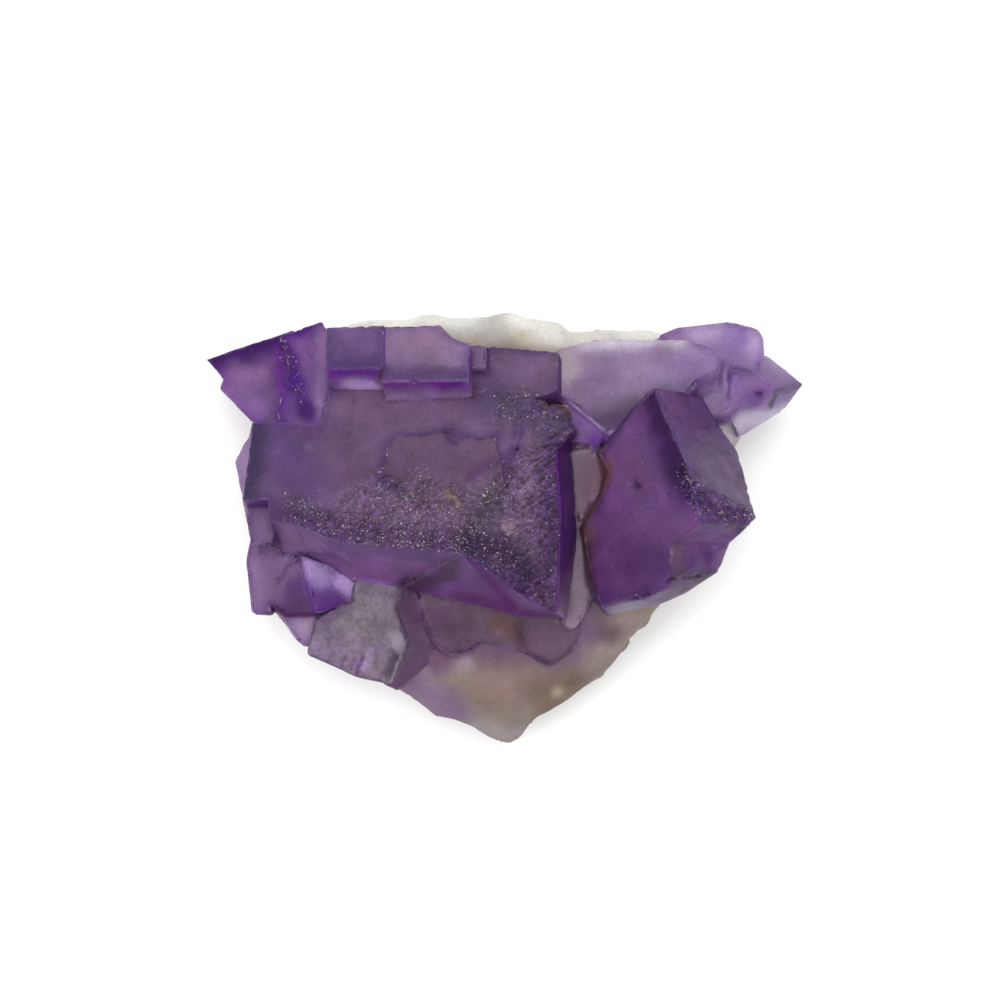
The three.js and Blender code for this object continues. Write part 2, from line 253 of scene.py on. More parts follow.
crown = base_ring(0.58, 0.0)
crown[:, 2] = height_on(CROWN_PLANE, crown)
grow(
    "base",
    [crown, base_ring(0.85, BASE_EDGE[:, 2] + 4.2), base_ring(1, BASE_EDGE[:, 2]), base_ring(0.97, 3.0),
     base_ring(0.85, 0.0)],
    [(*BASE_CENTRE, height_on(CROWN_PLANE, BASE_CENTRE)), (*BASE_CENTRE, 0.0)],
    CROWN_PLANE,
    shaped=broken,
)

# ---------------------------------------------------------------------------------------------------------
# The main crystal: a large cube face with a stepped left corner and one growth step, and in front of it a
# second individual whose etched face is nearest the viewer and whose lower side is cut back.
# ---------------------------------------------------------------------------------------------------------
MAIN_SLOPE = (0.2, -0.49)


def prism(name, outline, plane, heart, depth=7.0, flare=(0.0, 0.0)):
    """A cubic crystal: the outline lifted onto its face plane, and swept back square to it by depth. Flare
    moves the far end sideways."""
    normal = np.array([-plane[1], -plane[2], 1.0])
    normal /= np.linalg.norm(normal)
    flat = np.array([*outline, heart], float)
    front = np.column_stack([flat, height_on(plane, flat)])
    rear = front - depth * normal + np.array([*flare, 0.0])
    grow(name, [front[:-1], rear[:-1]], [front[-1], rear[-1]], plane)


prism(
    "main",
    [(-26.2, 2.7), (-23.7, 2.7), (-23.5, 0.5), (-20.9, 0.3), (-16.5, -1.5), (-4.2, -2.6), (-1, 3),
     (3.2, 12.9), (5.2, 13.6), (5.4, 17.5), (-1.5, 18.1), (-3.6, 18.2), (-12, 18.8), (-17.3, 18.8),
     (-17.8, 13.8), (-18.6, 10.1), (-22.9, 10.6), (-25.3, 10.5)],
    (23.5, *MAIN_SLOPE), (-15.1, 6.1), depth=11,
)
prism(
    "main_growth_step",
    [(-12.2, 5.2), (-8, 2), (-3, 1), (0, 4), (-1, 9), (-5.3, 8.7), (-5.5, 9.7), (-10.5, 9), (-11.7, 8.2)],
    (23.47, MAIN_SLOPE[0], MAIN_SLOPE[1] + 0.016), (-7.7, 5.5), depth=3,
)
prism(
    "corner_step",
    [(-25.8, 2.9), (-25.9, 1), (-25.4, -1.9), (-23.2, -1.9), (-22.9, -0.4), (-22.9, 3)],
    (21.6, *MAIN_SLOPE), (-23.7, 0.7), flare=(0, 2.4),
)
FRONT_PLANE = (23.49, *MAIN_SLOPE)           # a hundredth below the main face, which it continues
BENT_PLANE = (23.45, -0.02, -0.444)          # the front turns down onto this plane towards its right edge
front_face = np.array([
    (2.2, 14.2), (-6.7, 10), (-8, 4), (-7, -1.5), (-4.2, -2.6), (2.2, -7), (5, -8.5), (5.3, 0), (5, 7.6),
    (7, 9.7), (6.3, 10.6), (6.3, 12.1), (4.4, 12.3), (-3.3, 7.6),
])
front_face = np.column_stack([front_face, height_on(FRONT_PLANE, front_face)])
front_rear = np.array([
    (2.5, 10, 8), (-6, 6, 9), (-7, 1, 10), (-10.5, -2, 12), (-10.3, -6.1, 14.5), (1, -8.9, 16),
    (6.2, -9.2, 17), (7.3, -0.3, 14), (7.3, 7.6, 12), (7.5, 9, 11), (7, 9.6, 10), (6.5, 10.3, 9),
    (4.5, 10.3, 8),
])


def bent(points):
    """The shell with every point above the bent plane lowered onto it."""
    over = np.maximum(0, points[:, 2] - height_on(BENT_PLANE, points))
    return points - np.column_stack([0 * over, 0 * over, over])


grow("front", [front_face[:-1], front_rear], [front_face[-1], (-0.5, -1.8, 11.5)], FRONT_PLANE, bent)

# ---------------------------------------------------------------------------------------------------------
# The small cubes along the upper left: a ridge of two crystals that runs out past the main face, two short
# cubes with a bright front each, and a low clear step beside them.
# ---------------------------------------------------------------------------------------------------------
prism(
    "ridge_left",
    [(-30, 16.8), (-28.3, 14.8), (-28.7, 13.9), (-25.5, 10.6), (-21.5, 9.2), (-21.4, 19.8)],
    (22.75, 0.18, -0.55), (-23.8, 15.1), flare=(0.6, 3.2),
)
prism(
    "ridge_right",
    [(-22.6, 19.2), (-21.8, 16.2), (-22, 14.7), (-22.8, 11.5), (-22.3, 9), (-17, 8.5), (-17, 13),
     (-17.5, 16), (-17.7, 19.7), (-18.4, 20.7)],
    (19.5, 0.05, -0.5), (-19.6, 15.8),
)
prism(
    "small_cube",
    [(-18, 15.7), (-12.1, 15.8), (-12.1, 20.2), (-17.9, 20)],
    (31, 0.25, -0.65), (-14.9, 17.9),
)
prism(
    "long_cube",
    [(-12.3, 14.4), (-3.6, 14.5), (-3.5, 18.3), (-5.2, 19), (-6.5, 20.2), (-12.1, 20)],
    (28.6, 0.14, -0.62), (-8.6, 17.3),
)
prism(
    "clear_step",
    [(-3.9, 15.8), (-1.9, 15.9), (-1.9, 18), (-3.9, 18.1)],
    (24.6, *MAIN_SLOPE), (-2.9, 16.9), depth=4,
)

# ---------------------------------------------------------------------------------------------------------
# The right-hand side: two pale crystals behind, the blunt point that runs out to the right, and the second
# large crystal with its broad left face, steep right face and cut lower corner.
# ---------------------------------------------------------------------------------------------------------
prism(
    "rear_right",
    [(10.2, 9.4), (16.2, 11), (19.2, 14.4), (21.5, 15.6), (21.8, 17.2), (20.7, 18.2), (18.5, 18.9),
     (9.5, 19), (5, 18), (5, 13.7)],
    (18.2, 0.03, -0.22), (11.6, 14.4), depth=8, flare=(-1.2, -4.5),
)
prism(
    "violet_face",
    [(3.6, 13.2), (4.8, 11.8), (6.3, 9.4), (6.8, 6.4), (7.9, 6.2), (10.3, 9.4), (6.3, 12.9), (4.9, 13.9)],
    (9.16, 0.45, 0.257), (7.4, 10),
)
prism(
    "far_right",
    [(17, 11), (22.4, 10.6), (24.6, 13.4), (26.1, 17.4), (26, 19.1), (25.4, 20), (22.6, 20.7),
     (17.5, 20.1), (15.5, 19.3)],
    (17.3, -0.1, -0.15), (20.6, 16.2),
)
RIGHT_PLANE = (12.0, 0.62, -0.1)
right_face = np.array([
    (14.9, 13.8), (13.3, 12.3), (10.8, 9.2), (9.3, 7.4), (10.3, 5.5), (9.6, 3.2), (7.6, 0), (8.1, -2.6),
    (8.7, -6), (9.5, -8.1), (13.5, -7.2), (15.5, -6.3), (16.5, -5.2), (16.6, -1.6), (19.5, 0.2),
    (18.3, 5.4), (17.4, 7.7), (16.6, 9.5), (15.7, 11.6), (14.6, 4.7),
])
right_face = np.column_stack([right_face, height_on(RIGHT_PLANE, right_face)])
right_middle = np.array([
    (19.6, 13.2, 14.8), (13.3, 12.8, 10), (10.5, 9.6, 10), (8.9, 7.4, 10), (9.9, 5.5, 10), (9.2, 3.2, 10),
    (7.2, 0, 10), (7.7, -2.6, 10), (8.2, -6.2, 13), (10, -9, 15), (15.5, -7.8, 17), (18.2, -6.6, 17.5),
    (21.2, -4.6, 18), (22.4, -1.6, 18.5), (24.3, 0, 18.5), (25.2, 0.9, 18), (24.4, 3.6, 15),
    (23.2, 7.8, 13), (21.5, 10, 14),
])
RIGHT_HEART = np.array([15.0, 3.0, 5.0])
right_rear = RIGHT_HEART + (right_middle - RIGHT_HEART) * np.array([0.7, 0.7, 0.0])
grow("right", [right_face[:-1], right_middle, right_rear], [right_face[-1], RIGHT_HEART], RIGHT_PLANE)
prism(
    "pale_strip",
    [(6.2, 3), (6, -4), (5.6, -9.2), (6.1, -10.2), (6.9, -10.3), (8, -8.8), (9.2, -6), (9, -3), (9, 0.2),
     (9.9, 3.2), (10.6, 5.5), (9.4, 8.2), (6.6, 8.2)],
    (15, -0.02, 0.04), (7.6, 0),
)
grow(
    "tip",
    [[(26.8, 13.7, 12.5), (25.4, 15.3, 12.8), (22.6, 15.6, 13.6), (21.9, 11.6, 13.4), (25.4, 12.3, 12.3)],
     [(30.0, 14.3, 9.0), (26.4, 17.3, 9.5), (22.0, 17.5, 9.5), (23.4, 8.7, 9.5), (28.0, 11.6, 8.6)],
     [(27.6, 13.9, 4.2), (25.2, 15.8, 3.8), (21.0, 16.0, 3.8), (22.0, 10.4, 3.8), (25.6, 11.8, 4.0)]],
    [(24.2, 13.7, 13.3), (23.8, 13.6, 3.9)],
    (13.0, 0.0, 0.0),
)

# ---------------------------------------------------------------------------------------------------------
# The lower crystals: a lilac one at the left edge with a dark and a bright wedge beside it, a frosted one
# with a scratched face, a pale foot, and a violet wedge and a mauve block that stand half out of the base.
# ---------------------------------------------------------------------------------------------------------
prism(
    "lower_left",
    [(-25.5, -1.2), (-26, -3.6), (-25.4, -8.8), (-23.3, -8.9), (-23.6, -7.7), (-21.5, -4.3),
     (-20.5, -1.5)],
    (14.6, 0.1, 0.1), (-24.6, -7.5),
)
prism(
    "wedge_dark",
    [(-23.6, -7.7), (-22.5, -9.2), (-18.9, -8.8), (-19.9, -2.5), (-21.9, -3.5)],
    (18.1, 0.25, 0.1), (-21.2, -7.1),
)
prism(
    "wedge_bright",
    [(-20.3, -2.8), (-18.9, -8.8), (-14.6, -7.3), (-14.4, -5)],
    (10.8, -0.15, 0.1), (-17.4, -6.1),
)
prism(
    "frosted",
    [(-15.3, -7.3), (-19, -9.2), (-19.9, -12.8), (-15, -15), (-11.5, -15.9), (-10.5, -13.3),
     (-9.8, -11.3), (-10.9, -8.1), (-10.2, -5.6), (-15, -5.2)],
    (15.9, 0.15, 0.12), (-13.4, -8.9),
)
prism(
    "left_foot",
    [(-22.6, -9), (-22.3, -9.6), (-21.2, -11.3), (-20, -12.2), (-18.5, -11), (-18.5, -8.6)],
    (15.6, 0.2, 0.1), (-20, -10.3),
)
prism(
    "violet_wedge",
    [(-11, -5.9), (-11.2, -8.6), (-10.4, -11.4), (-11.2, -13.4), (-12.2, -15.8), (-10.6, -16.6),
     (-8.6, -14.6), (-7, -12.9), (-6, -11.6), (-6.9, -9.8), (-7.8, -5.9)],
    (13.6, -0.1, 0.2), (-9.6, -12),
)
prism(
    "mauve_block",
    [(-8.9, -6.4), (-8.2, -9.6), (-7, -12), (-5.6, -12.9), (-4.4, -12.8), (-2.2, -11.5), (0.7, -12.1),
     (2.6, -12.9), (4.2, -13.9), (4.9, -13.8), (6.9, -12), (7.6, -10.2), (7.4, -8.6), (1, -7)],
    (13.95, 0, 0.1), (0.4, -9.8),
)

# ---------------------------------------------------------------------------------------------------------
# The whole cluster. The bodies are joined into one closed surface, as one growth of one mineral. Its edges
# are then worn a little, and each face takes its own relief: fine mosaic blocks on the smooth faces, etch
# pits on the front of the main crystal, scratches on the frosted one and splinters on broken places.
# ---------------------------------------------------------------------------------------------------------
BODY = {entry["name"]: k for k, entry in enumerate(growth)}


def joined(entries):
    """One mesh of all the bodies: its points, its triangles, and the body, band and side of each triangle."""
    whole = entries[0]["object"]
    for entry in entries[1:]:
        join = whole.modifiers.new(entry["name"], "BOOLEAN")
        join.operation = "UNION"
        join.solver = "MANIFOLD"
        join.object = entry["object"]
    made = bpy.data.meshes.new_from_object(whole.evaluated_get(bpy.context.evaluated_depsgraph_get()))
    made.calc_loop_triangles()
    points = np.empty(3 * len(made.vertices))
    made.vertices.foreach_get("co", points)
    triangles = np.empty(3 * len(made.loop_triangles), np.int32)
    made.loop_triangles.foreach_get("vertices", triangles)
    of_face = np.empty(len(made.loop_triangles), np.int32)
    made.loop_triangles.foreach_get("polygon_index", of_face)
    labels = np.empty((len(made.polygons), 3), np.int32)
    for column, key in enumerate(("body", "band", "side")):
        values = np.empty(len(made.polygons), np.int32)
        made.attributes[key].data.foreach_get("value", values)
        labels[:, column] = values
    for entry in entries:
        old = entry["object"].data
        bpy.data.objects.remove(entry["object"])
        bpy.data.meshes.remove(old)
    bpy.data.meshes.remove(made)
    return points.reshape(-1, 3) / MM, triangles.reshape(-1, 3).astype(np.int64), labels[of_face]


def ramp(value, low, high):
    """0 below low, 1 above high, and 3t^2 - 2t^3 between them."""
    part = np.clip((value - low) / (high - low), 0, 1)
    return part * part * (3 - 2 * part)


def bump(distance, width):
    """A flat-topped bell: 1 near distance 0, falling to a third at width."""
    return np.exp(-((distance / width) ** 3))


def distance_to(path, flat):
    """Distance in plan from each point to a path of one or more straight pieces, or to a single spot."""
    path = np.asarray(path, float)
    if len(path) == 1:
        return np.linalg.norm(flat - path[0], axis=1)
    best = np.full(len(flat), np.inf)
    for start, end in zip(path[:-1], path[1:]):
        run = end - start
        share = np.clip((flat - start) @ run / (run @ run), 0, 1)
        best = np.minimum(best, np.linalg.norm(flat - start - share[:, None] * run, axis=1))
    return best


SAME_FACE = 0.985    # two faces whose directions agree by this cosine count as one
REACH_STEPS = 18     # how often distances from an edge are passed on

# The front continues the main face, so the line where they meet in plan is no edge.
SEAM = [
    (-16.5, -1.5), (-4.2, -2.6), (-1, 3), (2.5, 13), (2.2, 14.2), (-6.7, 10), (-8, 4), (-7, -1.5),
]


def surface_facts(points, triangles, labels):
    """Point normals, and each point's distance along the surface to the nearest ridge and to the nearest
    groove between two faces, found by passing distances on from point to point along the edges."""
    corners = points[triangles]
    normal = np.cross(corners[:, 1] - corners[:, 0], corners[:, 2] - corners[:, 0])
    point_normal = np.zeros_like(points)
    for k in range(3):
        np.add.at(point_normal, triangles[:, k], normal)
    point_normal /= np.linalg.norm(point_normal, axis=1)[:, None] + 1e-12
    normal /= np.linalg.norm(normal, axis=1)[:, None] + 1e-12
    middle = corners.mean(axis=1)
    body, band, side = labels[:, :3].T
    kind = np.where(body == BODY["base"], 0, body * 10000 + np.where(band == 0, 0, band * 100 + side))
    ends = np.sort(triangles[:, [0, 1, 1, 2, 2, 0]].reshape(-1, 2), axis=1)
    order = np.lexsort((ends[:, 1], ends[:, 0])).reshape(-1, 2)
    edge = ends[order[:, 0]]
    one, other = order[:, 0] // 3, order[:, 1] // 3
    turn = (normal[one] * (middle[other] - middle[one])).sum(axis=1)
    sharp = (kind[one] != kind[other]) & ((normal[one] * normal[other]).sum(axis=1) < SAME_FACE)
    centre = points[edge].mean(axis=1)
    on_face = np.abs(centre[:, 2] - height_on(FRONT_PLANE, centre)) < 0.12
    in_seam = (distance_to(SEAM, centre[:, :2]) < 0.15) & (centre[:, 0] > -15) & (centre[:, 1] > -2.3)
    sharp &= ~(in_seam & on_face)
    length = np.linalg.norm(points[edge[:, 0]] - points[edge[:, 1]], axis=1)
    reach = []
    for chosen in (sharp & (turn < 0), sharp & (turn > 0)):
        far = np.full(len(points), 9.0)
        far[edge[chosen].ravel()] = 0.0
        for _ in range(REACH_STEPS):
            np.minimum.at(far, edge[:, 0], far[edge[:, 1]] + length)
            np.minimum.at(far, edge[:, 1], far[edge[:, 0]] + length)
        reach.append(far)
    return point_normal, reach[0], reach[1]


def etching(points):
    """How strongly the front of the main crystal is etched at each point: fully below a line that wanders
    across the face, and a little round its upper corner."""
    x, y = points[:, 0], points[:, 1]
    line = np.interp(
        x, [-23.2, -22, -17, -12, -3.4, 0.4, 2.6, 7], [-9, 3.2, 3.6, 6.2, 4.6, 7, 9.5, 12.5])
    share = ramp(line - y + 2.2 * (haze(points, 2.2, 3) - 0.5), -0.8, 2.0)
    return np.maximum(share, 0.8 * ramp(-distance_to([(1.0, 12.0), (4.5, 10.5)], points[:, :2]), -3.2, -1.0))


SMUDGES = [(25.2, 13.4), (26.4, 12.2), (27.2, 13.3)]         # small dark spots on the point at the right
CHIPPED = [(18, 5.2), (19.2, 2.6), (20.4, 1.8), (23.6, 0.9)]  # the broken edge of the right-hand crystal
ETCHED_BODIES = [BODY[name] for name in ("main", "front", "main_growth_step")]


def wanted(middles, labels):
    """Longest edge for each triangle, in millimetres: fine on etched, chipped, frosted and spotted faces and
    along the edges of the crystals, coarse where nothing but the base is seen, and coarsest on the foot."""
    body, band = labels[:, 0], labels[:, 1]
    longest = np.where(band == 0, 0.75, 1.0)
    longest = np.where(body == BODY["base"], 0.95, longest)
    longest = np.where((labels[:, 3] > 0) & (body != BODY["base"]), 0.48, longest)
    finest = (etching(middles) > 0.3) & np.isin(body, ETCHED_BODIES) & (band == 0)
    longest = np.where(finest, 0.24, longest)
    rough = (body == BODY["right"]) & (distance_to(CHIPPED, middles[:, :2]) < 1.0)
    rough |= (body == BODY["frosted"]) & (band == 0)
    longest = np.where(rough, 0.36, longest)
    smudged = (body == BODY["tip"]) & (distance_to(SMUDGES, middles[:, :2]) < 1.0)
    longest = np.where(smudged, 0.3, longest)
    return np.where(middles[:, 2] < 1.5, 2.6, longest)


SOFTNESS = {         # how far each body's edges and seams have dissolved; the others are crisp
    "base": 0.6, "rear_right": 0.55, "far_right": 1, "tip": 0.8, "violet_face": 0.4, "pale_strip": 0.9,
    "corner_step": 0.5, "lower_left": 0.6, "wedge_dark": 0.9, "wedge_bright": 0.4, "frosted": 0.3,
    "left_foot": 0.8, "violet_wedge": 0.8, "mauve_block": 0.6,
}
ROUNDING_STEP = 0.6  # share of the way that a fully soft point moves to its neighbours' mean each time
ROUNDING_TIMES = 9
BLENDING_TIMES = 4


def softness(points, triangles, labels):
    """Each point's share of rounding: the least of the bodies it belongs to, little on the freshly broken
    lower sides and at the far point, none on the foot, and some round three sides of the right-hand
    crystal."""
    own = np.zeros(len(growth))
    for name, share in SOFTNESS.items():
        own[BODY[name]] = share
    soft = np.ones(len(points))
    np.minimum.at(soft, triangles.ravel(), np.repeat(own[labels[:, 0]], 3))
    right = np.zeros(len(points), bool)
    right[triangles[labels[:, 0] == BODY["right"]]] = True
    x, y, z = points.T
    rounded = 0.7 * np.maximum.reduce([ramp(11.5 - x, 0, 1.5), ramp(-4.6 - y, 0, 1.5), ramp(x - 23.8, 0, 1)])
    soft = np.where(right, np.maximum(soft, rounded), soft)
    return soft * ramp(z, 0.3, 1.5) * (1 - 0.8 * ramp(7.5 - z, 0, 2.5)) * (1 - 0.9 * ramp(x, 27.0, 28.5))


def neighbour_mean(values, ends):
    """For each point, the mean value of the points that an edge joins it to."""
    count = np.bincount(ends.ravel(), minlength=len(values))
    sums = [np.bincount(ends[:, 0], column[ends[:, 1]], len(values))
            + np.bincount(ends[:, 1], column[ends[:, 0]], len(values)) for column in values.T]
    return np.stack(sums, axis=1) / np.maximum(count, 1)[:, None]


points, triangles, labels = joined(growth)
labels = np.column_stack([labels, np.zeros(len(labels), int)])
points, triangles, labels = refined(points, triangles, labels, wanted)
_, ridge, _ = surface_facts(points, triangles, labels)
labels[:, 3] = ridge[triangles].min(axis=1) < 0.2
points, triangles, labels = refined(points, triangles, labels, wanted)
edges = np.unique(np.sort(triangles[:, [0, 1, 1, 2, 2, 0]].reshape(-1, 2), axis=1), axis=0)
soft = softness(points, triangles, labels)
for _ in range(ROUNDING_TIMES):
    points = points + (neighbour_mean(points, edges) - points) * ROUNDING_STEP * soft[:, None]
point_normal, ridge, groove = surface_facts(points, triangles, labels)
body, band = labels[:, 0], labels[:, 1]
point_body = np.zeros(len(points), int)
point_body[triangles] = body[:, None]
point_top = np.zeros(len(points), bool)
point_top[triangles[band == 0]] = True
plan = points[:, :2]
x, y = plan.T


def of(*names):
    """Which points belong to the named bodies."""
    return np.isin(point_body, [BODY[name] for name in names])


on_base = of("base")
etched = etching(points) * of("main", "front", "main_growth_step") * point_top
chipped = bump(distance_to(CHIPPED, plan), 1.1) * of("right") * ramp(points[:, 2], 14.0, 16.5)
frosted = 1.0 * (of("frosted") & point_top)

# Scratches and growth lines run up to the right across the etched face: noise stretched 6 times along them.
along, across = 0.84 * x + 0.54 * y, -0.54 * x + 0.84 * y
lines = haze(np.column_stack([along / 6, across, points[:, 2] / 6]), 0.26, 5)
lined = ramp(x - 0.25 * y, -2.0, 2.5)
mosaic_cell = np.floor(np.column_stack([(x + 0.18 * y) / 3.1, (y - 0.12 * x) / 2.3, point_body]))
mosaic = lattice_value(mosaic_cell.astype(np.int64), 9) - 0.5
fine_pits = splinters(points, 0.42, 51)
# Relief is in millimetres. Each term is a height times a noise; a noise is given its grain size and then a
# number that only picks its pattern.
relief = np.where(
    on_base,
    0.14 * (haze(points, 0.8, 41) - 0.5) + 0.06 * (haze(points, 0.4, 43) - 0.5),
    0.16 * (haze(points, 5.0, 45) - 0.5) + 0.06 * (haze(points, 1.6, 47) - 0.5) + 0.05 * mosaic,
)
fracture = on_base * ramp(7.0 - points[:, 2], 0.0, 3.0) * ramp(points[:, 2], 0.2, 1.2)
chips = splinters(points, 2.4, 55) + 0.6 * splinters(points, 1.2, 57)
relief += fracture * 0.75 * chips
relief += etched * (
    0.16 * fine_pits + 0.15 * splinters(points, 1.0, 52) + 0.14 * (haze(points, 1.3, 53) - 0.5))
relief += etched * lined * 0.16 * (lines - 0.5)
slate = of("right") * ~point_top * ramp(0.64 * x + 0.77 * y - 15.6, 0.0, 0.8)
down, aside = 0.77 * x - 0.64 * y, 0.64 * x + 0.77 * y
slate_lines = haze(np.column_stack([down / 5, aside, points[:, 2] / 5]), 0.3, 6)
relief += slate * 0.14 * (slate_lines - 0.5)
relief += chipped * (0.55 * splinters(points, 1.0, 61) + 0.2 * splinters(points, 0.45, 62))
relief += frosted * (0.12 * splinters(points, 0.9, 63) + 0.06 * (haze(points, 0.45, 65) - 0.5))
HOLLOWS = (          # small pits: place, width and depth
    ((12.8, 4.2), 0.42, 0.45), ((13.1, 4.0), 0.25, 0.2), ((16.0, 3.4), 0.22, 0.3), ((-7.2, -0.5), 0.5, 0.45),
    ((20.0, -3.3), 0.7, 0.35), ((-5.0, -6.1), 0.16, 0.2), ((7.3, 1.0), 0.14, 0.2), ((-21.4, 5.1), 0.15, 0.1),
)
for spot, width, depth in HOLLOWS:
    relief -= depth * bump(distance_to([spot], plan), width)
inside = np.clip(np.minimum(ridge, groove) / 0.35, 0, 1)
wear = 0.04 + 0.26 * ramp(haze(points, 0.7, 71), 0.55, 0.85) + 0.16 * (splinters(points, 0.6, 73) + 0.3)
moved = relief * inside - wear * bump(ridge, 0.2)
points = points + point_normal * (moved * (points[:, 2] > 0.05))[:, None]
points[:, 2] = np.maximum(points[:, 2], 0)

# ---------------------------------------------------------------------------------------------------------
# Its colour. Fluorite grows in coloured layers: a dark violet one lies just under most faces, so a face is
# darkest along its edges, where its neighbour's dark layer is seen on end, and paler lilac further down.
# Towards the base the mineral is milky, grey and beige, and iron has stained some grooves brown.
# ---------------------------------------------------------------------------------------------------------
VEIL = 0.035         # white that the gloss adds to every face, taken off the tones
CRYSTAL_GAIN = 1.22  # and what the glassy part of the mineral swallows, given back
BASE_GAIN = 1.15


def paint(code):
    """A colour as it should show, such as "#7b588b", as linear light less the veil of the gloss, which is
    light^2 / (light + veil)."""
    value = np.array([int(code[k:k + 2], 16) for k in (1, 3, 5)]) / 255
    light = np.where(value <= 0.04045, value / 12.92, ((value + 0.055) / 1.055) ** 2.4)
    return light * light / (light + VEIL)


# Each body's top face; the top and bottom of its sides, and how deep that change goes; edge layer and width.
TONES = {
    "base": ("#8f837a", "#8f837a", "#8f837a", 3, "#8e8790", 0),
    "main": ("#6d5575", "#5a3c70", "#775688", 7, "#533c66", 0.9),
    "main_growth_step": ("#675069", "#5f4a66", "#6f5671", 2, "#5b4763", 0.15),
    "corner_step": ("#7c6286", "#5a4168", "#7d6286", 4, "#5f4a6c", 0.5),
    "front": ("#6b5373", "#4c2360", "#64407a", 8, "#432a53", 0.7),
    "ridge_left": ("#6d4c7b", "#4b1d68", "#84669a", 4, "#5a2b78", 1),
    "ridge_right": ("#7a5490", "#451763", "#80608f", 4, "#4f1f6e", 0.9),
    "small_cube": ("#6f5583", "#662d82", "#b296c8", 3.6, "#5c4673", 0.8),
    "long_cube": ("#876f8f", "#5e2a76", "#93779f", 3.2, "#69527d", 0.8),
    "clear_step": ("#7d6587", "#7a5f86", "#8a7494", 2, "#6e567a", 0.3),
    "rear_right": ("#8a7199", "#8a6ba0", "#9a80ae", 4, "#785f98", 0.4),
    "far_right": ("#8b739e", "#80609a", "#a18fb2", 5, "#83669e", 0.3),
    "right": ("#6a4878", "#54386a", "#5d4470", 7, "#4c2c5c", 0.35),
    "tip": ("#896b98", "#7c6092", "#a192b0", 5, "#7a5c90", 0.3),
    "lower_left": ("#886a95", "#7a5a8a", "#8a7096", 5, "#6f4e82", 0.8),
    "wedge_dark": ("#461a5a", "#553066", "#7a5a8a", 5, "#4a2a5a", 0.6),
    "wedge_bright": ("#8260a0", "#6b4090", "#8a6aa2", 5, "#6a3c8c", 0.6),
    "frosted": ("#7d6f7f", "#6b5a70", "#84708e", 4, "#786b7d", 0.5),
    "left_foot": ("#947b9a", "#7d628e", "#9a86a8", 4, "#74588a", 0.6),
    "violet_wedge": ("#5d4560", "#5c4264", "#7a6578", 4, "#5f4669", 0.4),
    "mauve_block": ("#6c5068", "#5c4264", "#7a6578", 4, "#5a4061", 0.4),
    # violet_face, the lower side of the pale crystal: its bright violet is partly its own and partly painted
    # glow.
    "violet_face": ("#9f74b8", "#6a3f85", "#7a5a92", 4, "#7a4f98", 0.3),
    "pale_strip": ("#856f80", "#6a536a", "#7a6578", 4, "#6f586c", 0.4),
}
FACE = "main front main_growth_step"
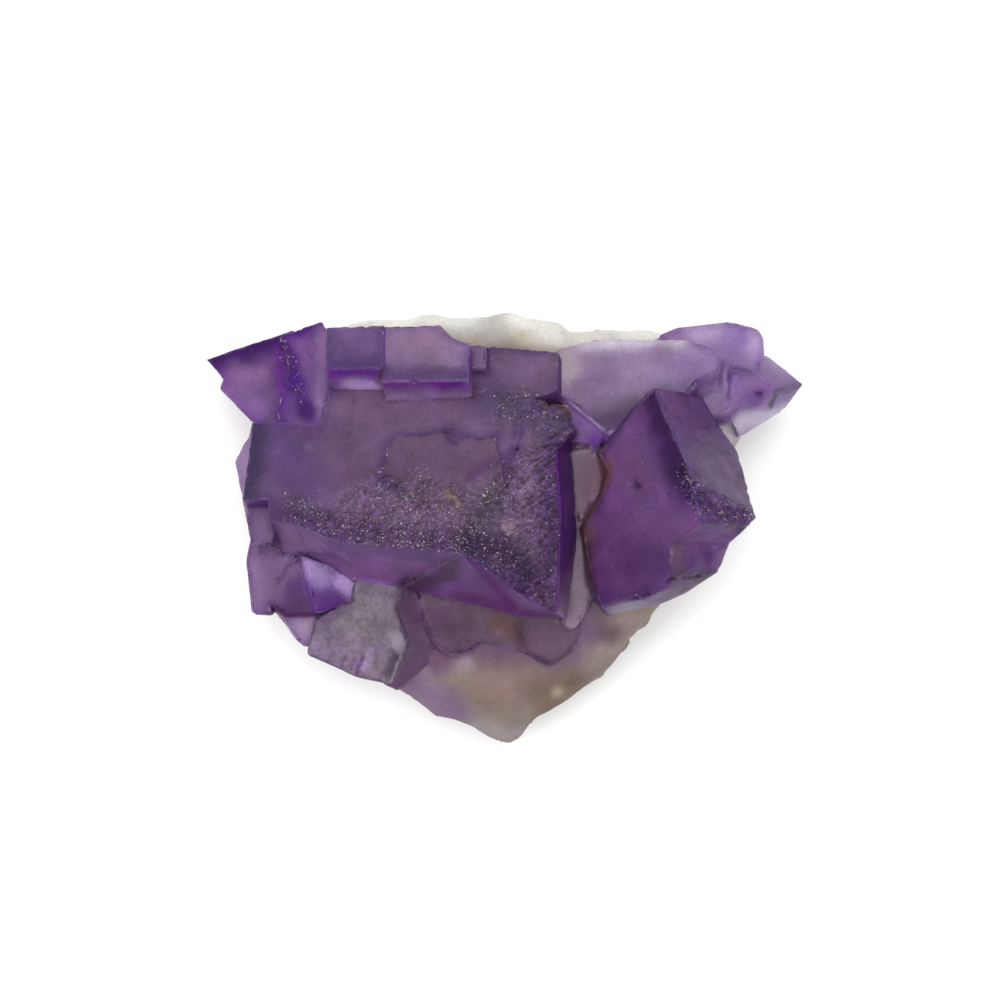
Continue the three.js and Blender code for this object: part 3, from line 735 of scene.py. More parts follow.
# Strokes of colour, in the order they are laid: the bodies and faces they lie on, then for each its path in
# plan, the width where it has faded to a third, its colour, and the share it covers at its middle.
MARKS = (
    # The milky base: white along the top, mauve under the crystals, beige below and grey at the right.
    ("base", "all", [
        ([(-16, 20.6), (-7, 21.3), (0, 21.4), (6, 20.2), (12, 19.8), (17, 19.8)], 2.4, "#d9d8d0", 0.97),
        ([(-1, 20)], 1.8, "#aba59e", 0.85),
        ([(1.5, 19.3)], 0.5, "#b5ac7a", 0.5),
        ([(-20, -6), (-12, -9), (-5, -9.5), (3, -11), (7, -10)], 3.4, "#6f5371", 0.95),
        ([(-8, -11), (-6.5, -13.4), (-2, -13), (2, -13.2)], 1.5, "#6b4f6a", 0.9),
        ([(-13, -14.5), (-8, -16.5), (-5, -18.5)], 2, "#7d6588", 0.85),
        ([(-2, -16), (4, -15.5)], 2.8, "#836f6b", 0.9),
        ([(-4.2, -13.9)], 0.9, "#a3929c", 0.7),
        ([(-3, -20.3), (1.5, -20.6)], 0.9, "#9d9398", 0.7),
        ([(3.5, -17), (7, -15.5)], 1.6, "#75635a", 0.9),
        ([(5.4, -16.6)], 0.6, "#b8a98e", 0.7),
        ([(10, -12), (13, -9.5)], 2, "#998a85", 0.9),
        ([(8, -10.4), (10.6, -10.8)], 1.3, "#69525f", 0.92),
        ([(8.4, 7), (8.8, 2), (8.2, -2)], 1.9, "#775a70", 0.9),
        ([(7.8, -3), (6.8, -9.6)], 1.3, "#958296", 0.97),
        ([(-25.6, 10.8), (-26.8, 6), (-25.8, 0)], 1.8, "#92799f", 0.95),
        ([(22.5, 9.8), (25.5, 10.8)], 2, "#c3bcc4", 0.9),
        ([(-22, -11), (-18, -13.5)], 1.8, "#8c7896", 0.7),
    ]),
    # The ridge: a dark layer along its crest and along the seam between its two crystals.
    ("ridge_left", "top", [
        ([(-29.8, 16.9), (-25.5, 18.4), (-22.4, 19.6)], 1.9, "#390e52", 0.98),
        ([(-27.5, 13.4), (-24.5, 12)], 1.6, "#8b6b9d", 0.6),
        ([(-27, 15.6), (-24.5, 15)], 1, "#8f70a2", 0.5),
    ]),
    ("ridge_left", "all", [([(-22.6, 17.5), (-22.3, 14.5)], 0.8, "#5b2b7c", 0.8)]),
    ("ridge_right", "top", [([(-18.2, 19.6), (-18.1, 14), (-18.6, 11.5)], 0.8, "#9876a6", 0.9)]),
    ("ridge_left ridge_right", "all", [
        ([(-22.8, 19.2), (-21.3, 16), (-20.6, 13.6), (-19.8, 11.4)], 1, "#42145c", 0.92),
    ]),
    ("ridge_right", "top", [([(-22.2, 19.9), (-18.6, 20.8)], 1.3, "#481a64", 0.96)]),
    ("ridge_right", "all", [([(-19.7, 11.6)], 1.1, "#491c62", 0.95)]),
    ("ridge_right", "top", [([(-20.7, 15)], 0.8, "#45166a", 0.8)]),
    # The small cubes: dark towards their front edges, with a pale and a bright corner below,
    # which are painted glow of light coming out through their fronts.
    ("small_cube", "top", [
        ([(-17.7, 16), (-12.9, 16.1)], 1.1, "#54406e", 0.75),
        ([(-16, 20.2), (-13.5, 20.2)], 1.2, "#7a6488", 0.7),
    ]),
    ("small_cube", "sides", [
        # Painted glow of light coming out through the cube's front.
        ([(-15, 13.7), (-13, 13.9)], 0.9, "#c0a4d4", 0.85),
        ([(-17.2, 14.2), (-17, 15.2), (-13, 15.5)], 0.8, "#683788", 0.8),
    ]),
    ("long_cube", "top", [
        ([(-12, 15), (-4, 15)], 1.1, "#5c4470", 0.9),
        ([(-11.5, 19), (-7, 19.2)], 1.5, "#8f7696", 0.6),
    ]),
    # Painted glow of light coming out through the cube's front.
    ("long_cube", "sides", [([(-3.8, 13.9)], 0.7, "#8a58a8", 0.6)]),
    ("small_cube long_cube main", "sides", [([(-12.6, 18.2), (-12.6, 14.4)], 0.25, "#6a4a52", 0.8)]),
    # The main face: slate blue at its left edge, violet beside it, brownish mauve above, darkest along the
    # lower edge; the front below it is etched, with a pale streak and an indigo facet at its right.
    (FACE, "top", [
        ([(-22.5, 8.5), (-20.5, 5)], 3.2, "#5d4577", 0.7),
        ([(-24.8, 9.6), (-25.6, 3.2)], 1.25, "#423853", 0.97),
        ([(-14, 12), (-7.5, 12.2)], 2.2, "#7b6080", 0.8),
        ([(-19.5, 9.6), (-21, 9.9)], 1, "#644069", 0.6),
        ([(0, 16.5), (4.5, 16)], 1.6, "#725a78", 0.8),
        ([(-1.5, 12.6), (1.5, 12), (5.5, 10.2)], 2, "#534463", 0.8),
        ([(-22.8, 1.6), (-20.5, 0.8), (-13, -0.7), (-4.5, -1.6)], 1.3, "#4d325b", 0.75),
        ([(-17.7, 13.2), (-18.4, 10.7), (-19.4, 7.7)], 0.14, "#8a7078", 0.5),
        ([(-15, 13.2), (-15.6, 9.7), (-14.8, 8.7)], 0.14, "#57404f", 0.5),
        ([(-12.2, 5.4), (-11.6, 8.2), (-10.5, 9.1), (-5.5, 9.8)], 0.16, "#4c3d55", 0.6),
        ([(-12.2, 5.2), (-11.2, 5.4)], 0.25, "#43234e", 0.8),
        ([(-5.6, 9.8), (-5.5, 8.6), (-4.9, 8.4)], 0.28, "#43234e", 0.9),
        ([(-10.5, 2.5), (-7, 3), (-4, 2.4)], 1.6, "#6c566e", 0.6),
        ([(-3.3, 5.2), (-1.5, 6.3), (1.5, 7.4)], 0.55, "#50305f", 0.6),
        ([(-5.9, 3.5)], 0.28, "#8d8154", 0.75),
        ([(-5.4, 2.9), (-5.1, 2.8)], 0.3, "#8a7d55", 0.65),
        ([(-4.7, 2.2)], 0.26, "#887a58", 0.7),
        ([(-1.5, 2.4), (-3.2, -1.2)], 1.4, "#4e4753", 0.75),
        ([(-3.6, -1.2), (0, -2.2), (2.6, -5.2)], 1.5, "#351b40", 0.87),
        ([(-3.6, -2.4), (2.2, -6.6)], 0.9, "#402550", 0.85),
        ([(2, 4.6), (1.8, 0.8)], 0.6, "#7d647f", 0.5),
        ([(0.4, -0.1)], 0.7, "#92788c", 0.9),
        ([(4.9, 8), (4.5, 0), (4.4, -5.5)], 1.4, "#472e54", 0.9),
        ([(3.8, -6.4), (4.2, -8.2)], 1, "#4c2f52", 0.8),
    ]),
    ("main", "sides", [
        ([(-22, -1), (-17.5, -3.2), (-10, -4.4)], 1.7, "#7a5389", 0.85),
        ([(-21.5, -1.4), (-19, -2)], 1.2, "#86688f", 0.8),
        ([(-15, -5.9), (-9.2, -5.8)], 0.7, "#9068b0", 0.9),
        ([(-20.5, -2.4), (-17.5, -2.9), (-14.8, -3.6)], 0.16, "#4e3560", 0.7),
    ]),
    # Painted shade along the hollow edge where the lower walls of the main crystal and the front meet.
    ("front main", "sides", [([(-10, -6), (-7.5, -5.5), (-5, -4)], 1.1, "#3f2140", 0.92)]),
    ("front", "sides", [
        ([(6.2, 8.5), (6.8, 0), (6.2, -7.5)], 1.2, "#451f58", 0.85),
        ([(-3.6, -4.4), (1.5, -7.4)], 1, "#5b3568", 0.9),
        ([(-5, -6.8), (-1, -7.6), (3.8, -9.3)], 0.8, "#53265f", 0.9),
        ([(6.2, -5.5), (6, -8)], 0.9, "#5f4162", 0.8),
    ]),
    ("front", "all", [([(4.4, -8.5)], 0.7, "#45284a", 0.8)]),
    ("front main rear_right", "all", [([(4.4, 12.3), (6.2, 12), (6.4, 11.4)], 0.35, "#4f3420", 0.9)]),
    # The pale crystals at the right: whitish at the left and along the back, and violet low down, a violet
    # that is partly their own colour and partly painted glow of light coming out through their lower side.
    ("rear_right", "top", [
        ([(5.4, 18), (6, 15.4)], 1.5, "#a899a3", 0.9),
        ([(9.5, 10.4), (12.5, 10.8), (16, 12.2)], 2.4, "#42244f", 0.95),
        ([(9.6, 10.2), (11.2, 10.6)], 1.2, "#371a44", 0.8),
        ([(7.5, 18.8), (17.5, 18.9)], 1.1, "#c6bdc8", 0.9),
        ([(7.6, 13.2), (10.2, 15.2)], 1.7, "#6b4e74", 0.85),
        ([(13, 15.8), (14.4, 16.2)], 1.1, "#9880a4", 0.6),
        ([(15.8, 16.8), (18, 15.8)], 1.4, "#72577e", 0.8),
    ]),
    ("rear_right", "all", [([(18.4, 14), (19.4, 14.8)], 0.9, "#644278", 0.8)]),
    ("rear_right", "top", [([(18.2, 16.6), (20.4, 16.2)], 1.2, "#7a5f98", 0.6)]),
    ("rear_right", "all", [([(18.8, 18.6), (21.4, 16.6), (20.4, 13.8)], 0.35, "#725688", 0.5)]),
    # Partly own colour, partly painted glow of light coming out through the lower side.
    ("rear_right", "sides", [([(7.5, 10.5), (8.5, 8)], 1.8, "#8a5aa4", 0.95)]),
    ("rear_right front main", "sides", [([(6.4, 12.6), (10.2, 9.4)], 0.3, "#a58fb8", 0.7)]),
    ("far_right", "all", [
        ([(22.8, 18.8), (22.6, 16.2), (23.6, 14.6)], 1.3, "#86689f", 0.7),
        ([(21.8, 13), (21, 11.4)], 1.3, "#6d527a", 0.8),
        ([(25.4, 18.4)], 0.9, "#a898ba", 0.85),
        ([(22.9, 18.2), (23.4, 17)], 0.8, "#7d5a94", 0.5),
        ([(18.8, 19.4), (21, 19.6)], 0.9, "#ab9cb8", 0.8),
        ([(24.6, 19.4), (25.2, 17.6)], 0.6, "#9e8cb0", 0.6),
        ([(24, 19.6), (23.9, 17.6)], 0.35, "#6f4f95", 0.7),
    ]),
    ("tip", "all", [([(23.5, 10.3), (28, 11.4)], 1.1, "#c3bac8", 0.9)]),
    ("tip", "sides", [([(27, 12.9), (29, 13.2)], 0.7, "#82699a", 0.7)]),
    ("tip", "all", [
        ([(26.9, 13.6), (30, 14.3)], 0.35, "#5a4568", 0.75),
        ([(22.5, 15)], 1.6, "#7d5f9b", 0.8),
        ([(24.6, 13), (25.4, 13.6)], 0.8, "#62407f", 0.6),
        ([(25.2, 13.4)], 0.34, "#3a2250", 0.95),
        ([(27.2, 13.3), (26.5, 12.3)], 0.36, "#3f3448", 0.9),
        ([(25.9, 12)], 0.5, "#8a7690", 0.7),
        ([(27.4, 15.2), (28.6, 14.6)], 0.7, "#7a6290", 0.6),
    ]),
    # The right-hand crystal: darkest beside its ridge, slate on its right face, brown in its left seam.
    ("right", "top", [
        ([(12.5, 5)], 3, "#704b7b", 0.6),
        ([(13, -3), (16, -4)], 2.4, "#4b2d56", 0.8),
        ([(14.9, 12.8), (15.8, 10), (17.1, 6.2), (18.2, 3.6)], 2.1, "#340e44", 0.96),
        ([(9.8, -7.4), (13.5, -6.8)], 0.8, "#4a2c58", 0.7),
    ]),
    ("right", "sides", [
        ([(18, 12.5), (19.8, 10.2)], 2.4, "#522c60", 0.92),
        ([(20.5, 7.2), (23, 4)], 2.2, "#60496f", 0.9),
        ([(19.6, 3), (21, 1.8), (23.6, 0.9)], 1.2, "#4d3058", 0.9),
        ([(18.6, 3.4), (19.6, 2.6)], 0.8, "#351348", 0.8),
        ([(18.2, -1.6), (22, -1.6), (21, -3.2)], 1.5, "#6f4d80", 0.95),
        ([(16.6, -6.6), (19.8, -5.4)], 1.2, "#4a2853", 0.97),
        ([(16.5, -5.2), (17.8, -4.6), (19.8, -4.9), (20.8, -4.6)], 0.4, "#38233f", 0.9),
    ]),
    ("right", "all", [([(20.1, -3.2)], 0.75, "#45225c", 0.9)]),
    ("right", "sides", [
        ([(17.2, -2.6), (17.4, -4.2)], 0.8, "#6e5263", 0.7),
        ([(19.6, 0.1), (24, 0.2)], 0.35, "#3f2450", 0.8),
    ]),
    ("right", "all", [
        ([(14.4, -6.2)], 0.9, "#3f2150", 0.9),
        ([(11, -8.2), (13, -8)], 0.6, "#857689", 0.8),
    ]),
    ("right", "sides", [
        ([(9.4, 7.4), (9.8, 4.8), (8, 1.4), (7.7, -1.5), (8.3, -5.5)], 0.8, "#7c5f66", 0.92),
    ]),
    ("right", "all", [
        ([(10.2, 6.6), (9.8, 4.5), (8.4, 1.2), (8.2, -1.5)], 0.4, "#74504c", 0.85),
        ([(8.2, -1.5), (8.8, -5.5)], 0.3, "#604048", 0.6),
        ([(9.2, 3.6), (7.9, 0.8), (8.1, -1.2)], 0.45, "#7a5a64", 0.85),
    ]),
    ("right", "top", [
        ([(8.4, 0.7), (10.1, -2.6), (10.3, -3.4), (11, -4.6)], 0.1, "#8f6cae", 0.6),
        ([(16.9, -2.4), (16.6, -3.6)], 0.3, "#8a6674", 0.5),
        ([(12.8, 4.2), (13.1, 4.1)], 0.35, "#4c3444", 0.8),
        ([(16, 3.4)], 0.22, "#33203c", 0.8),
    ]),
    # The lower crystals.
    ("lower_left", "all", [([(-23, -7.5), (-23.4, -4.5)], 1.2, "#6d4d82", 0.75)]),
    ("wedge_dark", "all", [
        ([(-23.4, -7.2), (-22.2, -4.6), (-21, -3.8)], 0.8, "#765688", 0.8),
        ([(-22.4, -8.5), (-19.4, -8.5)], 0.9, "#3f174a", 0.8),
    ]),
    ("wedge_bright", "all", [
        ([(-18.4, -7.6), (-16.5, -7.2)], 1.4, "#4b1a62", 0.9),
        # Painted glow: the bright right and pale upper left of this thin crystal, where light comes out
        # through it.
        ([(-16.2, -5.5), (-14.8, -6.3)], 0.9, "#b898cc", 0.92),
        ([(-19.6, -3.4), (-18.4, -4.8)], 1.1, "#a98cbe", 0.8),
    ]),
    ("frosted", "top", [
        ([(-16, -8), (-12, -9.5)], 2, "#8a8284", 0.7),
        ([(-18.6, -12.6), (-14.6, -14.4)], 1.3, "#8d7b98", 0.65),
        ([(-18.4, -9.4), (-16.4, -8.2), (-15.6, -7.6)], 0.8, "#6d5273", 0.75),
    ]),
    ("frosted", "all", [
        ([(-10.75, -12.7), (-11.05, -13.6), (-11.75, -14.8)], 0.45, "#4a3e54", 0.85),
        ([(-9.9, -11), (-10.15, -12.2), (-10.5, -13.6), (-11.3, -15.5)], 0.24, "#a598a8", 0.9),
    ]),
    ("frosted", "top", [
        ([(-14.2, -14), (-13.3, -12.6)], 0.5, "#9c86b0", 0.6),
        ([(-15.3, -14.2), (-14.8, -13.3)], 0.2, "#5f4873", 0.8),
        ([(-14.8, -14.9), (-14, -13.1)], 0.22, "#5a4070", 0.8),
        ([(-17.8, -13.9), (-17.2, -12.9)], 0.2, "#66507a", 0.7),
        ([(-16.4, -14.2), (-16, -13.2)], 0.18, "#66507a", 0.6),
    ]),
    ("frosted", "all", [
        ([(-10.8, -10.8), (-10.5, -11.7)], 0.6, "#a395a5", 0.8),
        ([(-10.4, -6), (-10.9, -8.1), (-10, -10.9)], 0.25, "#5f4a5f", 0.7),
    ]),
    ("violet_wedge", "all", [
        ([(-9.6, -7.4), (-8.3, -10), (-6.6, -11.9)], 0.18, "#8f7a96", 0.6),
        # Painted shadow at the wedge's top right, beside the mauve block.
        ([(-9.7, -7.2), (-8.8, -9.4)], 0.8, "#43243f", 0.85),
    ]),
    ("violet_wedge mauve_block", "all", [
        # Painted shade along the seam between the violet wedge and the mauve block.
        ([(-9.8, -6.8), (-8.9, -8.6), (-8.2, -10)], 0.6, "#55355a", 0.6),
        ([(-9.2, -12.8), (-8.6, -14)], 1, "#654b66", 0.7),
    ]),
    ("mauve_block", "top", [([(-7.2, -8.4), (-5.4, -10.2)], 1.3, "#563a5a", 0.8)]),
    ("mauve_block", "all", [
        ([(-4, -8.2), (-3.3, -9.5), (-3.7, -10.6)], 0.34, "#432648", 0.85),
        ([(-4.6, -12.6)], 0.5, "#432650", 0.8),
        ([(-4.2, -11.5), (-1.4, -11.4), (0.7, -12.1)], 0.22, "#5a4058", 0.6),
    ]),
    ("mauve_block", "top", [
        ([(-0.6, -9.6), (0.8, -10.2)], 1, "#765249", 0.85),
        ([(1.3, -9.6), (1.9, -11.6)], 0.7, "#43283c", 0.85),
    ]),
    ("mauve_block", "all", [([(-0.6, -10.2), (0.6, -11.6)], 0.12, "#8f7a90", 0.5)]),
    ("mauve_block base", "all", [([(5.2, -13), (8, -10.5)], 1.6, "#75607a", 0.6)]),
    ("pale_strip", "all", [
        ([(8.8, 6.4), (8.4, 2)], 1.4, "#7a5b6e", 0.85),
        ([(7.6, -2), (6.9, -9.8)], 1.3, "#948193", 0.95),
        ([(9.8, 6.4), (9.6, 3.6), (8.6, 0.6), (8.7, -2.4), (9, -6)], 0.45, "#674a4c", 0.8),
        ([(6.2, 6), (6.2, -8)], 0.5, "#5c4560", 0.8),
    ]),
    ("violet_face", "all", [
        ([(9.8, 9), (8.4, 6.6)], 0.8, "#7a48a0", 0.8),
        ([(6.5, 11), (7.4, 9.4)], 0.9, "#a084b4", 0.7),
    ]),
    ("mauve_block", "all", [
        ([(2.4, -12.7), (3, -13.2), (4.6, -13.9)], 0.45, "#3f2342", 0.9),
        ([(4.8, -13.7), (6.8, -12)], 0.35, "#5c4358", 0.7),
        ([(-3, -7.6), (-2.2, -9.6)], 0.2, "#7d6484", 0.6),
    ]),
)


def corner_fields():
    """The tone of each triangle corner, from its body's colours, its depth under the face and the marks."""
    at = triangles.ravel()
    flat = plan[at]
    wobble = np.column_stack([haze(points, 1.7, 81), haze(points, 1.7, 83)])[at] - 0.5
    fine_wobble = np.column_stack([haze(points, 0.5, 82), haze(points, 0.5, 84)])[at] - 0.5
    strayed = flat + 0.8 * wobble + 0.25 * fine_wobble
    own = np.repeat(body, 3)
    top = np.repeat(band == 0, 3)
    near_ridge, near_groove = ridge[at], groove[at]
    tone = np.zeros((len(at), 3))
    depth = np.zeros(len(at))
    for name, k in BODY.items():
        mine = own == k
        plane = growth[k]["plane"]
        steepness = np.sqrt(1 + plane[1] ** 2 + plane[2] ** 2)
        depth[mine] = (height_on(plane, points[at[mine]]) - points[at[mine], 2]) / steepness
        face, high, low, change, dark, width = TONES[name]
        fall = ramp(depth + 1.2 * wobble[:, 0], 0.2, change)[mine, None]
        sides = paint(high) * (1 - fall) + paint(low) * fall
        tone[mine] = np.where(top[mine, None], paint(face), sides)
        if width:
            share = (0.85 * bump(near_ridge, width * (1 + 0.8 * wobble[:, 1])) * top)[mine, None]
            tone[mine] = tone[mine] * (1 - share) + paint(dark) * share
    low_side = (own != BODY["right"]) & (own != BODY["base"]) & ~top
    milky = 0.7 * low_side * ramp(7.0 - points[at, 2] + 2 * wobble[:, 0], 0.0, 4.0)
    tone += (paint("#8f8192") - tone) * milky[:, None]
    seen = np.where(own == BODY["base"], ramp(points[at, 2] + 2 * wobble[:, 0], 1.5, 7.0), 1.0)
    for names, faces, strokes in MARKS:
        mine = np.isin(own, [BODY[name] for name in names.split()])
        if faces != "all":
            mine &= top if faces == "top" else ~top
        for path, width, colour, share in strokes:
            part = (share * bump(distance_to(path, strayed[mine]), width) * seen[mine])[:, None]
            tone[mine] = tone[mine] * (1 - part) + paint(colour) * part
    glassy = 1.0 * (own != BODY["base"])
    clouds = 0.5 * (haze(points, 2.6, 87)[at] - 0.5) + 0.35 * (haze(points, 1.1, 88)[at] - 0.5)
    warmth = 0.3 * (haze(points, 3.4, 89)[at] - 0.5) * (1 - 0.7 * etched[at])
    tone *= (1 + clouds * (0.45 + 0.35 * glassy))[:, None]
    tone *= 1 + (warmth * (0.2 + 0.5 * glassy))[:, None] * np.array([0.5, 0.1, -0.5])
    blend = (0.9 * ramp(soft, 0.25, 0.8) * (1 - bump(distance_to(SMUDGES, plan), 0.9) * of("tip")))[at]
    shared = np.stack([np.bincount(at, column, len(points)) for column in tone.T], axis=1)
    shared /= np.maximum(np.bincount(at, minlength=len(points)), 1)[:, None]
    for _ in range(BLENDING_TIMES):
        shared += (neighbour_mean(shared, edges) - shared) * ROUNDING_STEP * soft[:, None]
    tone += (shared[at] - tone) * blend[:, None]
    # Painted shade of the base's fracture: lighter where its splinters stand out, darker where they are sunk.
    tone *= (1 + 0.3 * (fracture * np.clip(chips / 0.4, -1, 1))[at])[:, None]
    tone *= (1 - 0.22 * etched[at])[:, None]
    # Painted shade of the finer relief: on the etched, chipped and striated faces the tone follows the relief
    # noise, lighter where it stands out and darker where it is sunk.
    tone *= (1 + (0.28 * etched * np.clip(fine_pits / 0.28, -1, 1))[at])[:, None]
    tone *= (1 + 0.4 * (etched * lined * (lines - 0.5) * 2)[at])[:, None]
    tone *= (1 + 0.16 * (slate * (slate_lines - 0.5) * 2)[at])[:, None]
    tone *= (1 + (0.45 * chipped * np.clip(splinters(points, 0.45, 62) / 0.2, -1, 1))[at])[:, None]
    stain = 0.4 * bump(near_groove, 0.28) * ramp(haze(points, 2.5, 85), 0.35, 0.65)[at]
    tone += (paint("#54384e") - tone) * stain[:, None]
    worn = 0.07 * bump(near_ridge, 0.12)
    tone += (paint("#b8a6c0") - tone) * worn[:, None]
    return tone * np.where(own == BODY["base"], BASE_GAIN, CRYSTAL_GAIN)[:, None], own


tone, own = corner_fields()
at = triangles.ravel()
base_corner = own == BODY["base"]
steep = ramp(-point_normal[:, 2], -0.75, -0.35)
rim = ramp(y, 18.0, 19.5) * ramp(points[:, 2], 4.0, 7.0)
BASE_CLEAR, CRYSTAL_CLEAR = 0.25, 0.4      # share of the light let through where the tone is pale
clear = np.where(base_corner, BASE_CLEAR, CRYSTAL_CLEAR) * (1 - 0.3 * etched[at])
clear = clear * (0.3 + 0.7 * ramp(tone[:, 1], 0.004, 0.055))
finish = np.column_stack([           # roughness, etching, frosting and striation
    0.28 + 0.14 * steep[at] + 0.2 * etched[at] + 0.4 * frosted[at] + 0.2 * chipped[at]
    + (0.3 - 0.2 * rim[at]) * base_corner,
    np.maximum(etched, 0.8 * chipped)[at],
    frosted[at],
    np.maximum(etched * (0.25 + 0.75 * lined), 0.5 * slate)[at],
])

cluster_mesh = mesh_of("fluorite_body", points, triangles)
for key, values in (("tone", np.column_stack([tone, clear])), ("finish", finish)):
    write_layer(cluster_mesh, key, "FLOAT_COLOR", "CORNER", "color", values.astype(np.float32))
flow = np.where(slate[:, None] > 0, np.column_stack([down, aside, points[:, 2]]),
                np.column_stack([along, across, points[:, 2]]))
write_layer(cluster_mesh, "flow", "FLOAT_VECTOR", "POINT", "vector", (flow * MM).astype(np.float32))
cluster_mesh.polygons.foreach_set("use_smooth", np.ones(len(triangles), bool))
CREASE_DEGREES = 32
cluster_mesh.set_sharp_from_angle(angle=np.radians(CREASE_DEGREES))
cluster_mesh.update()


def node(tree, kind, links=(), **values):
    """A shader node with its inputs linked or set, and its own settings."""
    made = tree.nodes.new(kind)
    for key, value in values.items():
        setattr(made, key, value)
    for socket, source in dict(links).items():
        if isinstance(source, bpy.types.NodeSocket):
            tree.links.new(source, made.inputs[socket])
        else:
            made.inputs[socket].default_value = source
    return made


fluorite = bpy.data.materials.new("fluorite")
fluorite.use_nodes = True
tree = fluorite.node_tree
tree.nodes.clear()
here = node(tree, "ShaderNodeTexCoord").outputs["Object"]
tone_node = node(tree, "ShaderNodeAttribute", attribute_name="tone")
finish_node = node(tree, "ShaderNodeAttribute", attribute_name="finish")
finish_parts = node(tree, "ShaderNodeSeparateColor", {"Color": finish_node.outputs["Color"]})
rough_share, etched_share, frosted_share = (finish_parts.outputs[key] for key in ("Red", "Green", "Blue"))


def noise(scale, detail=3.0, rough=0.55):
    """Smooth noise of the object's own space, with this many waves to the metre."""
    return node(tree, "ShaderNodeTexNoise", {"Vector": here, "Scale": scale, "Detail": detail,
                                             "Roughness": rough}).outputs["Fac"]


def mapped(value, low, high, to_low, to_high):
    """value carried from low..high to to_low..to_high, and held there outside."""
    made = node(tree, "ShaderNodeMapRange", {
        "Value": value, "From Min": low, "From Max": high, "To Min": to_low, "To Max": to_high})
    return made.outputs["Result"]


def by_share(share, none, full):
    """A number that goes from none to full as the share goes from 0 to 1."""
    return mapped(share, 0.0, 1.0, none, full)


def covered(under, over, share):
    """A colour with a share of another over it."""
    return node(tree, "ShaderNodeMix", {0: share, 6: under, 7: over}, data_type="RGBA").outputs[2]


def maths(operation, a, b):
    """One sum, product or other operation on two numbers."""
    return node(tree, "ShaderNodeMath", {0: a, 1: b}, operation=operation).outputs[0]


# Clouds of the mineral, a fine grain on every face, and a strong one on the etched face with fine light
# wrinkles, striations along the flow of the growth and pale specks that are painted glints.
clouds = mapped(noise(420.0, 4.0), 0.3, 0.7, 0.9, 1.1)
grain = mapped(noise(5200.0, 3.0, 0.75), 0.36, 0.64, -1.0, 1.0)
grain_share = maths("ADD", by_share(etched_share, 0.14, 0.5), by_share(frosted_share, 0.0, 0.08))
blotch = mapped(noise(1500.0, 3.0, 0.6), 0.36, 0.64, -1.0, 1.0)
blotch_share = maths("ADD", by_share(etched_share, 0.03, 0.22), by_share(frosted_share, 0.0, 0.14))
flow_place = node(tree, "ShaderNodeVectorMath", {
    0: node(tree, "ShaderNodeAttribute", attribute_name="flow").outputs["Vector"], 1: (900.0, 6500.0, 900.0),
}, operation="MULTIPLY").outputs["Vector"]
stretched = node(tree, "ShaderNodeTexNoise", {"Vector": flow_place, "Scale": 1.0, "Detail": 2.0})
striae = mapped(stretched.outputs["Fac"], 0.36, 0.64, -1.0, 1.0)
striae_share = by_share(finish_node.outputs["Alpha"], 0.0, 0.45)
shade = maths("ADD", maths("MULTIPLY", grain, grain_share), maths("MULTIPLY", blotch, blotch_share))
shade = maths("ADD", maths("ADD", shade, maths("MULTIPLY", striae, striae_share)), 1.0)
shade = maths("MULTIPLY", clouds, maths("MAXIMUM", shade, 0.12))
colour = node(tree, "ShaderNodeVectorMath", {0: tone_node.outputs["Color"], "Scale": shade},
              operation="SCALE").outputs["Vector"]
wrinkle = mapped(maths("ABSOLUTE", maths("SUBTRACT", noise(2300.0, 2.0, 0.6), 0.5), 0.0), 0.0, 0.03, 1.0, 0.0)
wrinkle = maths("MULTIPLY", wrinkle, mapped(noise(1700.0, 2.0), 0.48, 0.6, 0.0, 1.0))
wrinkle = maths("MULTIPLY", wrinkle, mapped(etched_share, 0.2, 1.0, 0.0, 0.42))
colour = covered(colour, (0.27, 0.235, 0.32, 1.0), wrinkle)
# Painted glints: pale specks in a few cells of a fine net, mostly on the etched face.
cells = node(tree, "ShaderNodeTexVoronoi", {"Vector": here, "Scale": 4600.0})
chance = node(tree, "ShaderNodeSeparateColor", {"Color": cells.outputs["Color"]}).outputs["Red"]
painted_glint = maths("MULTIPLY", mapped(cells.outputs["Distance"], 0.2, 0.38, 1.0, 0.0),
              maths("GREATER_THAN", chance, by_share(etched_share, 0.9992, 0.955)))
colour = covered(colour, (0.52, 0.47, 0.46, 1.0), maths("MULTIPLY", painted_glint, 0.7))

# A net of dark cracks on the frosted face, bent by noise.
bending = node(tree, "ShaderNodeTexNoise", {"Vector": here, "Scale": 700.0, "Detail": 3.0})
offset = node(tree, "ShaderNodeVectorMath", {0: bending.outputs["Color"], "Scale": 0.0016}, operation="SCALE")
bent_place = node(tree, "ShaderNodeVectorMath", {0: here, 1: offset.outputs["Vector"]}, operation="ADD")
cracks = node(tree, "ShaderNodeTexVoronoi", {"Vector": bent_place.outputs["Vector"], "Scale": 330.0},
              feature="DISTANCE_TO_EDGE")
crack_share = maths("MULTIPLY", mapped(cracks.outputs["Distance"], 0.012, 0.05, 1.0, 0.0),
                    by_share(frosted_share, 0.0, 0.22))
colour = covered(colour, (0.085, 0.065, 0.085, 1.0), crack_share)

